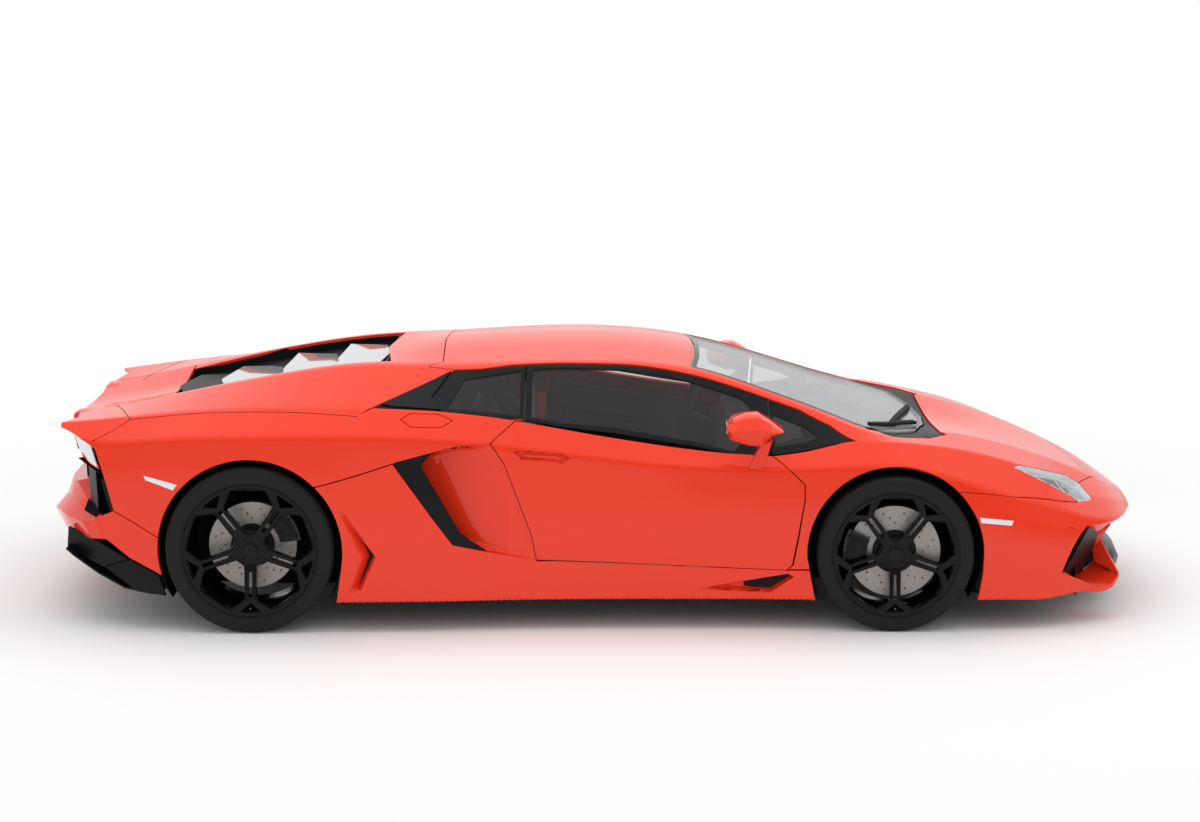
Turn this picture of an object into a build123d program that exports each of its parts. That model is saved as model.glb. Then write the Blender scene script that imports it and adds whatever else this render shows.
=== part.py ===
"""A mid-engined two-seat supercar coupe with scissor doors, at full size, in millimetres.

+X points to the nose, +Y to the car's left, +Z up. The origin is on the ground, under the middle of
the car's box. The body is lofted through the section table below and split along its real shut lines
into panels. What sits on both sides is made once, on the right, and mirrored.
"""

import os

from build123d import *

# ---------------------------------------------------------------- driving dimensions
WHEELBASE = 2700.0
FRONT_OVERHANG = 1115.0
REAR_OVERHANG = 965.0
FRONT_TRACK = 1720.0
REAR_TRACK = 1690.0

LENGTH = FRONT_OVERHANG + WHEELBASE + REAR_OVERHANG
FRONT_AXLE_X = LENGTH / 2 - FRONT_OVERHANG
REAR_AXLE_X = FRONT_AXLE_X - WHEELBASE

# tyres: 255/35 R19 in front, 335/30 R20 behind
FRONT_TYRE_RADIUS = 330.5
FRONT_TYRE_WIDTH = 255.0
FRONT_RIM_RADIUS = 241.3
REAR_TYRE_RADIUS = 354.5
REAR_TYRE_WIDTH = 335.0
REAR_RIM_RADIUS = 254.0
FRONT_DISC_RADIUS = 195.0
REAR_DISC_RADIUS = 185.0

FRONT_ARCH_RADIUS = 372.0
REAR_ARCH_RADIUS = 386.0
FRONT_WELL_INNER_Y = 545.0
REAR_WELL_INNER_Y = 640.0

SKIN = 40.0  # outer panels with their stiffeners
ROOF_SKIN = 38.0  # over the cabin, a little thinner, so that the cavity reaches the panel
GLASS = 6.0
LID = 26.0
SHUT_GAP = 5.0
SEAL_GAP = 9.0  # round the frameless door glass
PILLAR_INSET = 12.0  # of the fixed glass ahead of the door
RUNNING_FIT = 0.05  # of a pin in its bore
SEAT_CLEARANCE = 0.3  # between pieces that rest against each other

FLOOR_TOP = 170.0
CABIN_HALF_WIDTH = 800.0
ENGINE_BAY_FLOOR = 190.0
CABIN_REAR_X = -640.0
FOOTWELL_X = 900.0
FOOTWELL_END_X = 1230.0
FOOTWELL_HALF_WIDTH = 500.0

# the scissor hinge leans, so that the door swings up and a little outwards
DOOR_HINGE = (779.0, -822.0, 758.0)
DOOR_HINGE_LEAN = (0.20, 1.0, 0.10)
HINGE_PIN_RADIUS = 12.0
DOOR_BOTTOM_TOP = 310.0  # the door's corners below this height
DOOR_BOTTOM_LIFT = 5.0  # stand higher by this, to swing past the sill
FRONT_LID_REAR_X = 1512.0
FRONT_LID_FRONT_X = 2250.0
COVER_FRONT_X = -830.0
COVER_REAR_X = -1850.0
LID_HINGE = (1505.0, 478.0, 754.0)  # x, y, z of the bonnet's right and left hinge pin
COVER_HINGE = (-824.0, 120.0, 1069.0)
LID_PIN_RADIUS = 4.0
EAR = 6.0  # half the height of a lid's hinge ear

# Half sections of the body, rear to front. The lines run over the whole car: centre line, roof rail or
# deck crease, belt or wing crest, shoulder crease, flank and sill edge.
SECTIONS = (
    # x, top z, rail y, z, belt y, z, shoulder y, z, flank y, z, sill y, z
    (-2250, 812, 420, 838, 735, 852, 800, 815, 845, 560, 800, 230),
    (-2070, 828, 425, 868, 770, 872, 890, 800, 925, 580, 880, 185),
    (-1830, 862, 430, 920, 790, 898, 960, 818, 985, 580, 965, 150),
    (-1425, 950, 440, 1002, 810, 925, 985, 838, 1015, 560, 1000, 130),
    (-1000, 1045, 470, 1062, 850, 930, 985, 838, 1015, 500, 1000, 130),
    (-640, 1112, 545, 1068, 865, 915, 965, 820, 995, 480, 985, 130),
    (-300, 1130, 585, 1082, 868, 882, 945, 782, 968, 470, 955, 130),
    (0, 1134, 590, 1086, 868, 838, 938, 742, 958, 470, 942, 130),
    (430, 1092, 560, 1048, 862, 772, 935, 700, 958, 470, 940, 130),
    (730, 1016, 606, 966, 852, 752, 938, 690, 962, 470, 944, 130),
    (1000, 925, 678, 874, 840, 778, 946, 700, 975, 470, 960, 130),
    (1275, 815, 735, 792, 830, 784, 955, 705, 992, 460, 975, 130),
    (1500, 738, 520, 768, 780, 752, 948, 660, 990, 450, 968, 130),
    (1760, 700, 450, 712, 740, 688, 925, 575, 972, 420, 950, 130),
    (1960, 640, 390, 645, 690, 605, 868, 510, 925, 390, 905, 130),
    (2120, 580, 330, 578, 600, 520, 790, 450, 850, 340, 825, 132),
    (2290, 492, 220, 488, 430, 455, 560, 415, 650, 320, 640, 135),
    (2390, 424, 90, 420, 200, 408, 250, 392, 260, 372, 250, 352),
)


def inset_section(row, inset):
    """The closed outline of one section, moved inwards by inset."""
    x, top_z, *pairs = row
    half = [(0.0, top_z - inset)]
    directions = ((0.35, 1.0), (0.75, 0.75), (0.9, 0.45), (1.0, 0.0), (1.0, -1.0))
    for (y, z), (share_y, share_z) in zip(zip(pairs[::2], pairs[1::2]), directions):
        half.append((y - share_y * inset, z - share_z * inset))
    right = [Vector(x, -y, z) for y, z in half]
    left = [Vector(x, y, z) for y, z in reversed(half[1:])]
    return right + left


def body_solid(inset=0.0):
    """The body's whole volume, its surface moved inwards by inset."""
    wires = [Wire.make_polygon(inset_section(row, inset), close=True) for row in SECTIONS]
    return Solid.make_loft(wires, ruled=True)


def side_prism(points, y_low, y_high):
    """A block with an outline in side view, from y_low to y_high."""
    outline = Wire.make_polygon([Vector(x, y_low, z) for x, z in points], close=True)
    return Solid.extrude(Face(outline), Vector(0, y_high - y_low, 0))


def top_prism(points, z_low, z_high):
    """A block with an outline in plan view, from z_low to z_high."""
    outline = Wire.make_polygon([Vector(x, y, z_low) for x, y in points], close=True)
    return Solid.extrude(Face(outline), Vector(0, 0, z_high - z_low))


def block(x0, x1, y0, y1, z0, z1):
    """A rectangular block between two corners."""
    return Solid.make_box(x1 - x0, y1 - y0, z1 - z0, Plane(origin=(x0, y0, z0)))


def rod_y(x, z, radius, y0, y1):
    """A cylinder along the car's width."""
    return Solid.make_cylinder(radius, y1 - y0, Plane(origin=(x, y0, z), z_dir=(0, 1, 0)))


def mirrored(shape):
    """The same piece on the other side of the car."""
    return shape.mirror(Plane.XZ)


def group(*shapes):
    """Separate solids as one compound, for pieces that share a node."""
    return Compound(children=[solid for shape in shapes for solid in shape.solids()])


def largest(shape):
    """The biggest solid of a boolean result."""
    return max(shape.solids(), key=lambda solid: solid.volume)


def pair(shape):
    """A piece and its mirror image."""
    return group(shape, mirrored(shape))


def turned(profile, angle=360.0, start=0.0):
    """A solid turned about the Y axis from (y, radius) points, from an angle of start degrees."""
    outline = Wire.make_polygon([Vector(0, y, r) for y, r in profile], close=True)
    solid = Solid.revolve(Face(outline), angle, Axis.Y)
    return solid.moved(Location((0, 0, 0), (0, start, 0)))


def shrink(points, gap):
    """An outline moved inwards by gap, for a panel that clears the hole it closes."""
    face = Face(Wire.make_polygon([Vector(x, z, 0) for x, z in points], close=True))
    inner = offset(face, amount=-gap, kind=Kind.INTERSECTION)
    wire = inner.faces()[0].outer_wire()
    return [(v.X, v.Y) for v in (edge.position_at(0) for edge in wire.order_edges())]


# ---------------------------------------------------------------- outlines, in side view (x, z)
DOOR = (
    (760, 735), (893, 625), (893, 560), (844, 283), (818, 259), (-228, 305), (-250, 360),
    (-345, 640), (-420, 800), (-318, 884), (0, 828), (430, 762), (640, 742),
)
DOOR_GLASS = (
    (751, 690), (751, 924), (560, 990), (430, 1022), (200, 1052), (0, 1060),
    (-275, 1052), (-275, 840), (0, 790), (430, 730), (640, 700),
)
DOOR_INNER_REAR = ((-600, 900), (-283, 900), (-283, 700), (-252, 500), (-181, 300), (-181, 200), (-600, 200))
FRONT_TRIANGLE = ((785, 772), (785, 898), (900, 858), (1085, 797), (900, 778))
PILLAR_RECESS = ((740, 700), (740, 936), (900, 882), (1120, 806), (1120, 786), (900, 764), (765, 742))
REAR_QUARTER = ((-300, 895), (-300, 1040), (-420, 1030), (-590, 930), (-560, 912))
SILL_LINE = ((-1115, 640), (-828, 716), (-600, 393), (-439, 350), (-228, 308), (840, 262), (946, 262))
BUMPER_LINE = ((1560, 605), (1706, 574), (2121, 494), (2262, 560), (2420, 560))
BELT_LINE = (
    (-640, 895), (-400, 868), (-318, 860), (0, 800), (430, 740), (640, 730), (760, 735), (905, 752),
    (1140, 776), (1400, 790),
)
SIDE_INTAKE = ((-828, 716), (-679, 780), (-546, 792), (-450, 780), (-330, 420), (-439, 352), (-600, 393))
SIDE_INTAKE_BLADE = ((-828, 716), (-679, 751), (-546, 780), (-600, 700), (-700, 690))
FRONT_INTAKE = ((2050, 250), (2130, 400), (2250, 420), (2360, 405), (2360, 200), (2200, 190))
TAIL_CUT = ((-2300, 800), (-2225, 800), (-2085, 700), (-2050, 480), (-2010, 120), (-2500, 100), (-2500, 800))
FRONT_LID_BEVEL = ((2243, 512), (2222, 450), (2300, 450), (2300, 512))  # so that it lifts past the bumper
COVER_BEVEL = ((-1843, 905), (-1828, 840), (-1900, 840), (-1900, 905))
TAIL_LAMP = ((-2155, 750), (-2085, 700), (-2078, 650), (-2098, 652), (-2170, 738))
MIRROR_BACK = ((560, 800), (555, 900), (640, 935), (780, 925), (793, 870), (700, 800))
SEAT_Z = FLOOR_TOP + SEAT_CLEARANCE
SEAT = (
    (60, SEAT_Z), (95, 300), (60, 345), (-180, 300), (-330, 640), (-420, 880), (-500, 900), (-525, 860),
    (-430, 560), (-330, SEAT_Z),
)
DASH_X = FOOTWELL_X - SEAT_CLEARANCE
DASHBOARD = ((560, 640), (620, 720), (DASH_X, 790), (DASH_X, 600), (700, 560))
CONSOLE = ((-300, SEAT_Z), (-300, 330), (300, 400), (620, 600), (720, 640), (DASH_X, 640), (DASH_X, SEAT_Z))

# ---------------------------------------------------------------- outlines, in plan view (x, y)
WINDSCREEN = (
    (440, -500), (440, 500), (800, 585), (1225, 690), (1400, 520), (1492, 0), (1400, -520),
    (1225, -690), (800, -585),
)
FRONT_LID = (
    (FRONT_LID_REAR_X, -480), (FRONT_LID_REAR_X, 480), (1524, 500), (1760, 455), (FRONT_LID_FRONT_X, 230),
    (FRONT_LID_FRONT_X, -230), (1760, -455), (1524, -500),
)
ENGINE_COVER = (
    (COVER_REAR_X, -360), (COVER_REAR_X, 360), (-1425, 415), (COVER_FRONT_X, 430), (COVER_FRONT_X, -430),
    (-1425, -415),
)
HEADLAMP = ((1796, -745), (1960, -640), (2050, -560), (2150, -600), (2060, -740), (1900, -800))
DOOR_CORNER = ((-450, -700), (-450, -972), (-318, -884), (-278, -872), (-278, -700))
SIDE_INTAKE_FLOOR = ((-325, -1200), (-325, -955), (-760, -830), (-835, -830), (-835, -1200))
WIPER_ARMS = (
    ((1455, 130), (1440, 165), (1290, -480), (1305, -490)),
    ((1430, -330), (1415, -300), (1180, -640), (1190, -655)),
)

SLATS = (  # x of the front and rear edge, half width at the middle
    (-880, -1090, 345),
    (-1120, -1330, 340),
    (-1360, -1570, 330),
    (-1600, -1800, 310),
)
SLAT_CORNER = 70.0  # how far the hexagon's middle corners stand out over its ends


# ---------------------------------------------------------------- the body and its hollows
def cabin_hollow(lining):
    """The cabin with its footwells, under the roof's lining."""
    width = (-CABIN_HALF_WIDTH, CABIN_HALF_WIDTH)
    seats = block(CABIN_REAR_X, FOOTWELL_X, *width, FLOOR_TOP, 1200)
    feet = block(FOOTWELL_X, FOOTWELL_END_X, -FOOTWELL_HALF_WIDTH, FOOTWELL_HALF_WIDTH, FLOOR_TOP, 740)
    scuttle = block(FOOTWELL_X, 1470, *width, 739, 1200)
    return (seats + feet + scuttle) & lining


def wheel_wells():
    """The four wheel arches, open to the outside and below."""
    wells = []
    for x, centre_z, radius, inner_y in (
        (FRONT_AXLE_X, FRONT_TYRE_RADIUS, FRONT_ARCH_RADIUS, FRONT_WELL_INNER_Y),
        (REAR_AXLE_X, REAR_TYRE_RADIUS, REAR_ARCH_RADIUS, REAR_WELL_INNER_Y),
    ):
        half_width = radius * 0.93
        for y0, y1 in ((-1200, -inner_y), (inner_y, 1200)):
            wells.append(rod_y(x, centre_z, radius, y0, y1))
            wells.append(block(x - half_width, x + half_width, y0, y1, -50, centre_z * 0.6))
    return wells


def on_both_sides(points, y_low, y_high):
    """A side prism and its mirror image, for cuts."""
    right = side_prism(points, y_low, y_high)
    return [right, mirrored(right)]


def above(line, top=1400):
    """The outline over a line given from rear to front."""
    return (*line, (line[-1][0], top), (line[0][0], top))


def below(line, bottom=-50):
    """The outline under a line given from rear to front."""
    return (*line, (line[-1][0], bottom), (line[0][0], bottom))


def hexagon(front_x, rear_x, half_width):
    """The plan outline of one glass slat."""
    end = half_width - SLAT_CORNER
    middle = (front_x + rear_x) / 2
    return (
        (front_x, -end), (front_x, end), (middle, half_width), (rear_x, end), (rear_x, -end),
        (middle, -half_width),
    )


def hinge_pin(radius):
    """A cylinder along the right door's hinge axis."""
    plane = Plane(origin=DOOR_HINGE, z_dir=DOOR_HINGE_LEAN)
    return Solid.make_cylinder(radius, 120, plane.offset(-60))


def door_hinge_arm():
    """The arm that carries the right door on its hinge pin."""
    x, y, z = DOOR_HINGE
    arm = side_prism(((x - 20, z - 110), (x + 24, z - 110), (x + 24, z), (x + 12, z + 24), (x - 12, z + 24),
                      (x - 24, z), (x - 24, z - 60)), y - 7, y + 7)
    return arm - hinge_pin(HINGE_PIN_RADIUS + RUNNING_FIT)


def lid_hinges(hinge, lid_edge_x):
    """The two ears on a lid, and the pockets with their pins, as two lists of cuts and additions."""
    x, y, z = hinge
    towards = 1 if lid_edge_x > x else -1
    ears, pockets = [], []
    for side in (-1, 1):
        middle = side * y
        x0, x1 = sorted((x - towards * EAR, lid_edge_x + towards * 6))
        ear = block(x0, x1, middle - 7, middle + 7, z - EAR, z + EAR)
        ears.append(ear - rod_y(x, z, LID_PIN_RADIUS + RUNNING_FIT, middle - 8, middle + 8))
        x0, x1 = sorted((x - towards * 13, lid_edge_x))
        pocket = block(x0, x1, middle - 12, middle + 12, z - 14, z + 40)
        pockets.append(pocket - rod_y(x, z, LID_PIN_RADIUS, middle - 13, middle + 13))
    return ears, pockets


def body_panels():
    """Everything that is cut from the body's volume, by node name."""
    outer = body_solid()
    lining = body_solid(ROOF_SKIN)
    glass = outer - body_solid(GLASS)
    lid_shell = outer - body_solid(LID)
    under_lids = body_solid(SKIN + 2)
    recessed = body_solid(PILLAR_INSET)
    core = body_solid(SKIN) & block(-1990, 2030, -1200, 1200, 0, 1300)
    parts = {}

    full = outer - cabin_hollow(lining)
    full -= block(1600, 2000, -360, 360, 250, 900) & lining  # luggage bay
    full -= block(-1930, -700, -430, 430, ENGINE_BAY_FLOOR, 1200) & lining
    full -= wheel_wells()
    full -= side_prism(TAIL_CUT, -1200, 1200)

    lifted = [(x, z + DOOR_BOTTOM_LIFT if z < DOOR_BOTTOM_TOP else z) for x, z in DOOR]
    door_trim = side_prism(shrink(lifted, SHUT_GAP), -1200, -CABIN_HALF_WIDTH - 1)
    glass_seat = side_prism(shrink(DOOR, SHUT_GAP - SEAT_CLEARANCE), -1200, -500)
    # the rear upper corner rises past the panel over it, so it is thin there
    door_corner = top_prism(DOOR_CORNER, 200, 1000)
    door_rear = side_prism(DOOR_INNER_REAR, -872, -700)
    parts["door_right"] = largest(((full & door_trim) - [door_corner, door_rear]) + door_hinge_arm())
    parts["door_glass_right"] = largest((glass & side_prism(DOOR_GLASS, -1000, -500)) - glass_seat)
    full -= on_both_sides(DOOR, -1200, -CABIN_HALF_WIDTH + 5)
    full -= on_both_sides(shrink(DOOR_GLASS, -SEAL_GAP), -1000, -450)
    hinge_pocket = block(745, 832, -842, -796, 690, 815) - hinge_pin(HINGE_PIN_RADIUS)
    full -= [hinge_pocket, mirrored(hinge_pocket)]
    # the fixed glass by the pillar lies deeper than the door's, which swings over it
    full -= [(outer - recessed) & prism for prism in on_both_sides(PILLAR_RECESS, -1000, -480)]

    windscreen = top_prism(WINDSCREEN, 700, 1300)
    parts["windscreen"] = largest(glass & windscreen)
    full -= windscreen - under_lids
    quarter_glass = []
    for outline, pane in ((FRONT_TRIANGLE, recessed - body_solid(PILLAR_INSET + GLASS)), (REAR_QUARTER, glass)):
        prisms = on_both_sides(outline, -1000, -480)
        quarter_glass.extend(pane & prism for prism in prisms)
        full -= prisms
    parts["quarter_windows"] = group(*quarter_glass)

    rear_pane = block(-680, -674, -400, 400, 860, 1040)
    full -= block(-705, -630, -400, 400, 860, 1040)
    parts["rear_window"] = rear_pane

    for name, outline, hinge, edge_x, bevel in (
        ("front_lid", FRONT_LID, LID_HINGE, FRONT_LID_REAR_X + SHUT_GAP, FRONT_LID_BEVEL),
        ("engine_cover", ENGINE_COVER, COVER_HINGE, COVER_FRONT_X - SHUT_GAP, COVER_BEVEL),
    ):
        ears, pockets = lid_hinges(hinge, edge_x)
        panel = lid_shell & top_prism(shrink(outline, SHUT_GAP), 400, 1300)
        parts[name] = largest((panel - side_prism(bevel, -600, 600)) + ears)
        full -= top_prism(outline, 400, 1300) - under_lids
        full -= pockets
    slats = [top_prism(hexagon(*row), 700, 1300) for row in SLATS]
    parts["engine_slats"] = group(*(glass & slat for slat in slats))
    parts["engine_cover"] -= slats

    scoop = side_prism(SIDE_INTAKE, -1200, -700) & top_prism(SIDE_INTAKE_FLOOR, 300, 820)
    full -= [scoop, mirrored(scoop)]
    nose_intake = side_prism(FRONT_INTAKE, -760, -330)
    full -= [nose_intake, mirrored(nose_intake)]

    lamp = largest((outer - body_solid(14)) & top_prism(HEADLAMP, 300, 800))
    parts["headlamps"] = pair(lamp)
    full -= [top_prism(HEADLAMP, 300, 800) - body_solid(14)]
    full -= [mirrored(top_prism(HEADLAMP, 300, 800)) - body_solid(14)]

    parts["tub"] = largest(full & core)
    skin = full - core
    for name, cut in (
        ("undertray", block(-2000, 2030, -820, 820, 0, 175)),
        ("front_bumper", side_prism(below(BUMPER_LINE), -1200, 1200)),
        ("rear_panel", side_prism(((-1990, 0), (-1990, 700), (-2300, 700), (-2300, 0)), -1200, 1200)),
        ("spoiler", block(-2400, COVER_REAR_X, -440, 440, 700, 1200)),
        ("roof_frame", side_prism(above(BELT_LINE), -1200, 1200)),
        ("cowl", block(1400, FRONT_LID_REAR_X, -600, 600, 600, 1200)),
    ):
        parts[name] = largest(skin & cut)
        skin -= cut
    sills = side_prism(below(SILL_LINE), -1200, 1200)
    parts["sills"] = pair(largest((skin & sills) & block(-2000, 2000, -1200, 0, 0, 1200)))
    skin -= sills
    right_half = skin & block(-2400, 2400, -1200, 0, 0, 1300)
    parts["fender_right"] = largest(right_half & block(0, 2400, -1200, 0, 0, 1300))
    parts["quarter_right"] = largest(right_half & block(-2400, 0, -1200, 0, 0, 1300))
    return parts


# ---------------------------------------------------------------- tail, mirrors, wipers and cabin
def tail_seat(z):
    """A point just behind the tail's face, for what is fixed to it."""
    (upper_x, upper_z), (lower_x, lower_z) = TAIL_CUT[3:5]
    share = (z - lower_z) / (upper_z - lower_z)
    return (lower_x + share * (upper_x - lower_x) - SEAT_CLEARANCE, z)


def rear_bumper():
    """The bumper that stands out under the tail, deepest at its middle."""
    middle = ((-2391, 387), (-2330, 455), (-2200, 478), tail_seat(478), tail_seat(240), (-2322, 240), (-2375, 330))
    end = ((-2110, 400), (-2095, 455), (-2080, 468), tail_seat(468), tail_seat(260), (-2080, 270), (-2100, 330))
    wires = [
        Wire.make_polygon([Vector(x, y, z) for x, z in outline], close=True)
        for y, outline in ((-880, end), (-300, middle), (300, middle), (880, end))
    ]
    return Solid.make_loft(wires, ruled=True)


def diffuser():
    """The black undertray that rises to the tail, with its fins."""
    top = 240 - SEAT_CLEARANCE
    plate = side_prism((tail_seat(130), (-2322, 217), (-2322, top), tail_seat(top)), -600, 600)
    for y in (-430, -215, 0, 215, 430):
        fin = ((-2060, 147), (-2318, 216), (-2318, 150), (-2200, 118), (-2060, 118))
        plate += side_prism(fin, y - 6, y + 6)
    return plate


def mirror_right():
    """The door mirror on its slanted stalk."""
    wires = []
    for y, scale in ((-1130, 0.82), (-1000, 1.0)):
        centre_x, centre_z = 675, 868
        points = [
            Vector(centre_x + (x - centre_x) * scale, y, centre_z + (z - centre_z) * scale) for x, z in MIRROR_BACK
        ]
        wires.append(Wire.make_polygon(points, close=True))
    housing = Solid.make_loft(wires, ruled=True)
    foot = ((690, -900, 690), (735, -900, 690), (735, -900, 715), (690, -900, 715))
    head = ((650, -1040, 815), (700, -1040, 815), (700, -1040, 840), (650, -1040, 840))
    stalk = Solid.make_loft(
        [Wire.make_polygon([Vector(*p) for p in ring], close=True) for ring in (foot, head)], ruled=True
    )
    return largest((housing + stalk) - body_solid())


def wipers():
    """Two wiper arms that lie on the windscreen."""
    shell = body_solid(-14) - body_solid()
    return group(*(shell & top_prism(arm, 700, 1200) for arm in WIPER_ARMS))


def seats():
    """The two bucket seats."""
    right = side_prism(SEAT, -610, -150)
    return pair(right)


def dashboard():
    """The dashboard with the centre console, cut back to the cabin's walls."""
    board = side_prism(DASHBOARD, -735, 735) + side_prism(CONSOLE, -110, 110)
    return largest(board & body_solid(SKIN + 6))


def steering_wheel():
    """The steering wheel with its column, in front of the left seat."""
    tilt = Plane(origin=(430, 380, 700), x_dir=(0, 1, 0), z_dir=(-0.92, 0, 0.39))
    section = ((-14, 168), (-8, 178), (8, 178), (14, 168), (8, 156), (-8, 156))
    ring = turned(section).rotate(Axis.X, 90).moved(tilt.location)
    hub = Solid.make_cylinder(40, 30, tilt.offset(-15))
    column = Solid.make_cylinder(22, 260, tilt.offset(-260))
    spokes = Solid.make_cylinder(9, 330, Plane(origin=(430, 215, 700), z_dir=(0, 1, 0)))
    return largest((ring + hub + column + spokes) - side_prism(DASHBOARD, -780, 780))


# ---------------------------------------------------------------- wheels, hubs and suspension
HUB_FACE = -50.0  # of the rim, from the wheel's middle plane, outwards below zero
DISC = (-40.0, -8.0)
PAD_GAP = 5.0
CALIPER_INNER = 25.0
STUB_RADIUS = 25.0
KINGPIN_INSET = 20.0
KINGPIN_RADIUS = 8.0
ARM_THICKNESS = 24.0
KNUCKLE_HALF_HEIGHT = 95.0
SPOKES = 5

WHEELS = (
    # name, x, y, tyre radius, tyre width, rim radius, rim width, disc radius, caliper angle
    ("front", FRONT_AXLE_X, FRONT_TRACK / 2, FRONT_TYRE_RADIUS, FRONT_TYRE_WIDTH, FRONT_RIM_RADIUS, 240.0,
     FRONT_DISC_RADIUS, 180.0),
    ("rear", REAR_AXLE_X, REAR_TRACK / 2, REAR_TYRE_RADIUS, REAR_TYRE_WIDTH, REAR_RIM_RADIUS, 312.0,
     REAR_DISC_RADIUS, 35.0),
)


def tyre(radius, width, rim_radius, rim_width):
    """A low tyre with rounded shoulders."""
    side = width / 2
    bead = rim_width / 2 - 9.5
    half = ((-bead, rim_radius + SEAT_CLEARANCE), (-bead, rim_radius + 14), (-side, rim_radius + 40),
            (-side + 8, radius - 16), (-side + 30, radius))
    return turned((*half, *((-y, r) for y, r in reversed(half))))


def rim(rim_radius, rim_width):
    """A wheel with five forked spokes and its stub axle."""
    side = rim_width / 2
    lip = rim_radius + 12
    barrel = turned((
        (-side, lip), (-side + 9, lip), (-side + 9, rim_radius), (side - 9, rim_radius), (side - 9, lip),
        (side, lip), (side, rim_radius - 8), (-side + 20, rim_radius - 14), (-side, rim_radius - 4),
    ))
    hub = rod_y(0, 0, 75, -side + 22, HUB_FACE) + rod_y(0, 0, STUB_RADIUS, HUB_FACE - 1, 60)
    wheel = barrel + hub
    reach = rim_radius - 8
    fork = ((40, -34), (40, 34), (120, 40), (reach * 0.97, 72), (reach * 0.99, 30), (150, 9), (150, -9),
            (reach * 0.99, -30), (reach * 0.97, -72), (120, -40))
    spoke = side_prism(fork, -side + 14, -side + 44)
    wheel += [spoke.rotate(Axis.Y, 360.0 / SPOKES * number - 90) for number in range(SPOKES)]
    return largest(wheel)


def disc(radius):
    """A brake disc with its hat."""
    outer, inner = DISC
    return turned((
        (HUB_FACE, 30), (HUB_FACE, 90), (outer, 90), (outer, radius), (inner, radius), (inner, 100), (inner - 20, 80),
        (inner - 20, 30),
    ))


def knuckle(disc_radius, caliper_angle):
    """An upright with its hub bearing and brake caliper."""
    outer, inner = DISC
    start = inner + PAD_GAP
    carrier = rod_y(0, 0, 62, start, 55)
    column = block(-25, 25, start, 2 * KINGPIN_INSET - start, -KNUCKLE_HALF_HEIGHT, KNUCKLE_HALF_HEIGHT)
    over = disc_radius + PAD_GAP
    caliper = turned((
        (outer - PAD_GAP - 20, 125), (outer - PAD_GAP - 20, over + 17), (CALIPER_INNER, over + 17),
        (CALIPER_INNER, 125), (start, 125), (start, over), (outer - PAD_GAP, over), (outer - PAD_GAP, 125),
    ), angle=56.0, start=62.0)
    bracket = block(0, 140, start, CALIPER_INNER, -30, 30)
    holder = (caliper + bracket).rotate(Axis.Y, -caliper_angle)
    pin = Solid.make_cylinder(
        KINGPIN_RADIUS, 2 * (KNUCKLE_HALF_HEIGHT + ARM_THICKNESS),
        Plane(origin=(0, KINGPIN_INSET, -KNUCKLE_HALF_HEIGHT - ARM_THICKNESS)),
    )
    pin -= block(-KINGPIN_RADIUS, KINGPIN_RADIUS, 0, 2 * KINGPIN_INSET, -KNUCKLE_HALF_HEIGHT, KNUCKLE_HALF_HEIGHT)
    return largest(carrier + column + pin.solids() + holder - rod_y(0, 0, STUB_RADIUS + RUNNING_FIT, -100, 100))


def arms(x, y, z, inner_y):
    """The upper and lower wishbone of one wheel on the right side."""
    pin_y = -y + KINGPIN_INSET
    outline = ((x - 14, pin_y - 14), (x + 14, pin_y - 14), (x + 20, pin_y + 10), (x + 85, -inner_y), (x + 55, -inner_y),
               (x, pin_y + 70), (x - 55, -inner_y), (x - 85, -inner_y), (x - 20, pin_y + 10))
    reach = KNUCKLE_HALF_HEIGHT + SEAT_CLEARANCE
    bore = Solid.make_cylinder(KINGPIN_RADIUS + RUNNING_FIT, 400, Plane(origin=(x, pin_y, z - 200)))
    upper = top_prism(outline, z + reach, z + reach + ARM_THICKNESS) - bore
    lower = top_prism(outline, z - reach - ARM_THICKNESS, z - reach) - bore
    return group(upper, lower)


def running_gear():
    """Wheels, knuckles and wishbones by node name; the right side's, to be mirrored."""
    parts = {}
    fixed = []
    for name, x, y, radius, width, rim_radius, rim_width, disc_radius, angle in WHEELS:
        centre = Location((x, -y, radius))
        parts[f"tyre_{name}_right"] = tyre(radius, width, rim_radius, rim_width).moved(centre)
        parts[f"rim_{name}_right"] = rim(rim_radius, rim_width).moved(centre)
        parts[f"disc_{name}_right"] = disc(disc_radius).moved(centre)
        upright = knuckle(disc_radius, angle).moved(centre)
        inner_y = FRONT_WELL_INNER_Y if name == "front" else REAR_WELL_INNER_Y
        fixed.append(arms(x, y, radius, inner_y))
        if name == "front":
            parts["knuckle_right"] = upright
        else:
            fixed.append(upright)
    parts["suspension"] = pair(group(*fixed))
    return parts


def build():
    """All sub-parts, by node name."""
    parts = body_panels()
    parts["rear_bumper"] = rear_bumper()
    parts["diffuser"] = diffuser()
    parts["mirror_right"] = mirror_right()
    parts["wipers"] = wipers()
    parts["seats"] = seats()
    parts["dashboard"] = dashboard()
    parts["steering_wheel"] = steering_wheel()
    parts["engine"] = block(-1780, -750, -300, 300, ENGINE_BAY_FLOOR + SEAT_CLEARANCE, 760)
    lamp = side_prism(TAIL_LAMP, -870, -430)
    parts["tail_lamps"] = pair(lamp)
    blade = side_prism(SIDE_INTAKE_BLADE, -960, -900)
    parts["grilles"] = pair(blade)
    parts.update(running_gear())
    for name in [name for name in parts if name.endswith("_right")]:
        parts[name.replace("_right", "_left")] = mirrored(parts[name])
    return parts


if __name__ == "__main__":
    os.makedirs("parts", exist_ok=True)
    for node, shape in build().items():
        export_step(Compound(children=list(shape.solids())), f"parts/{node}.step")
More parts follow.
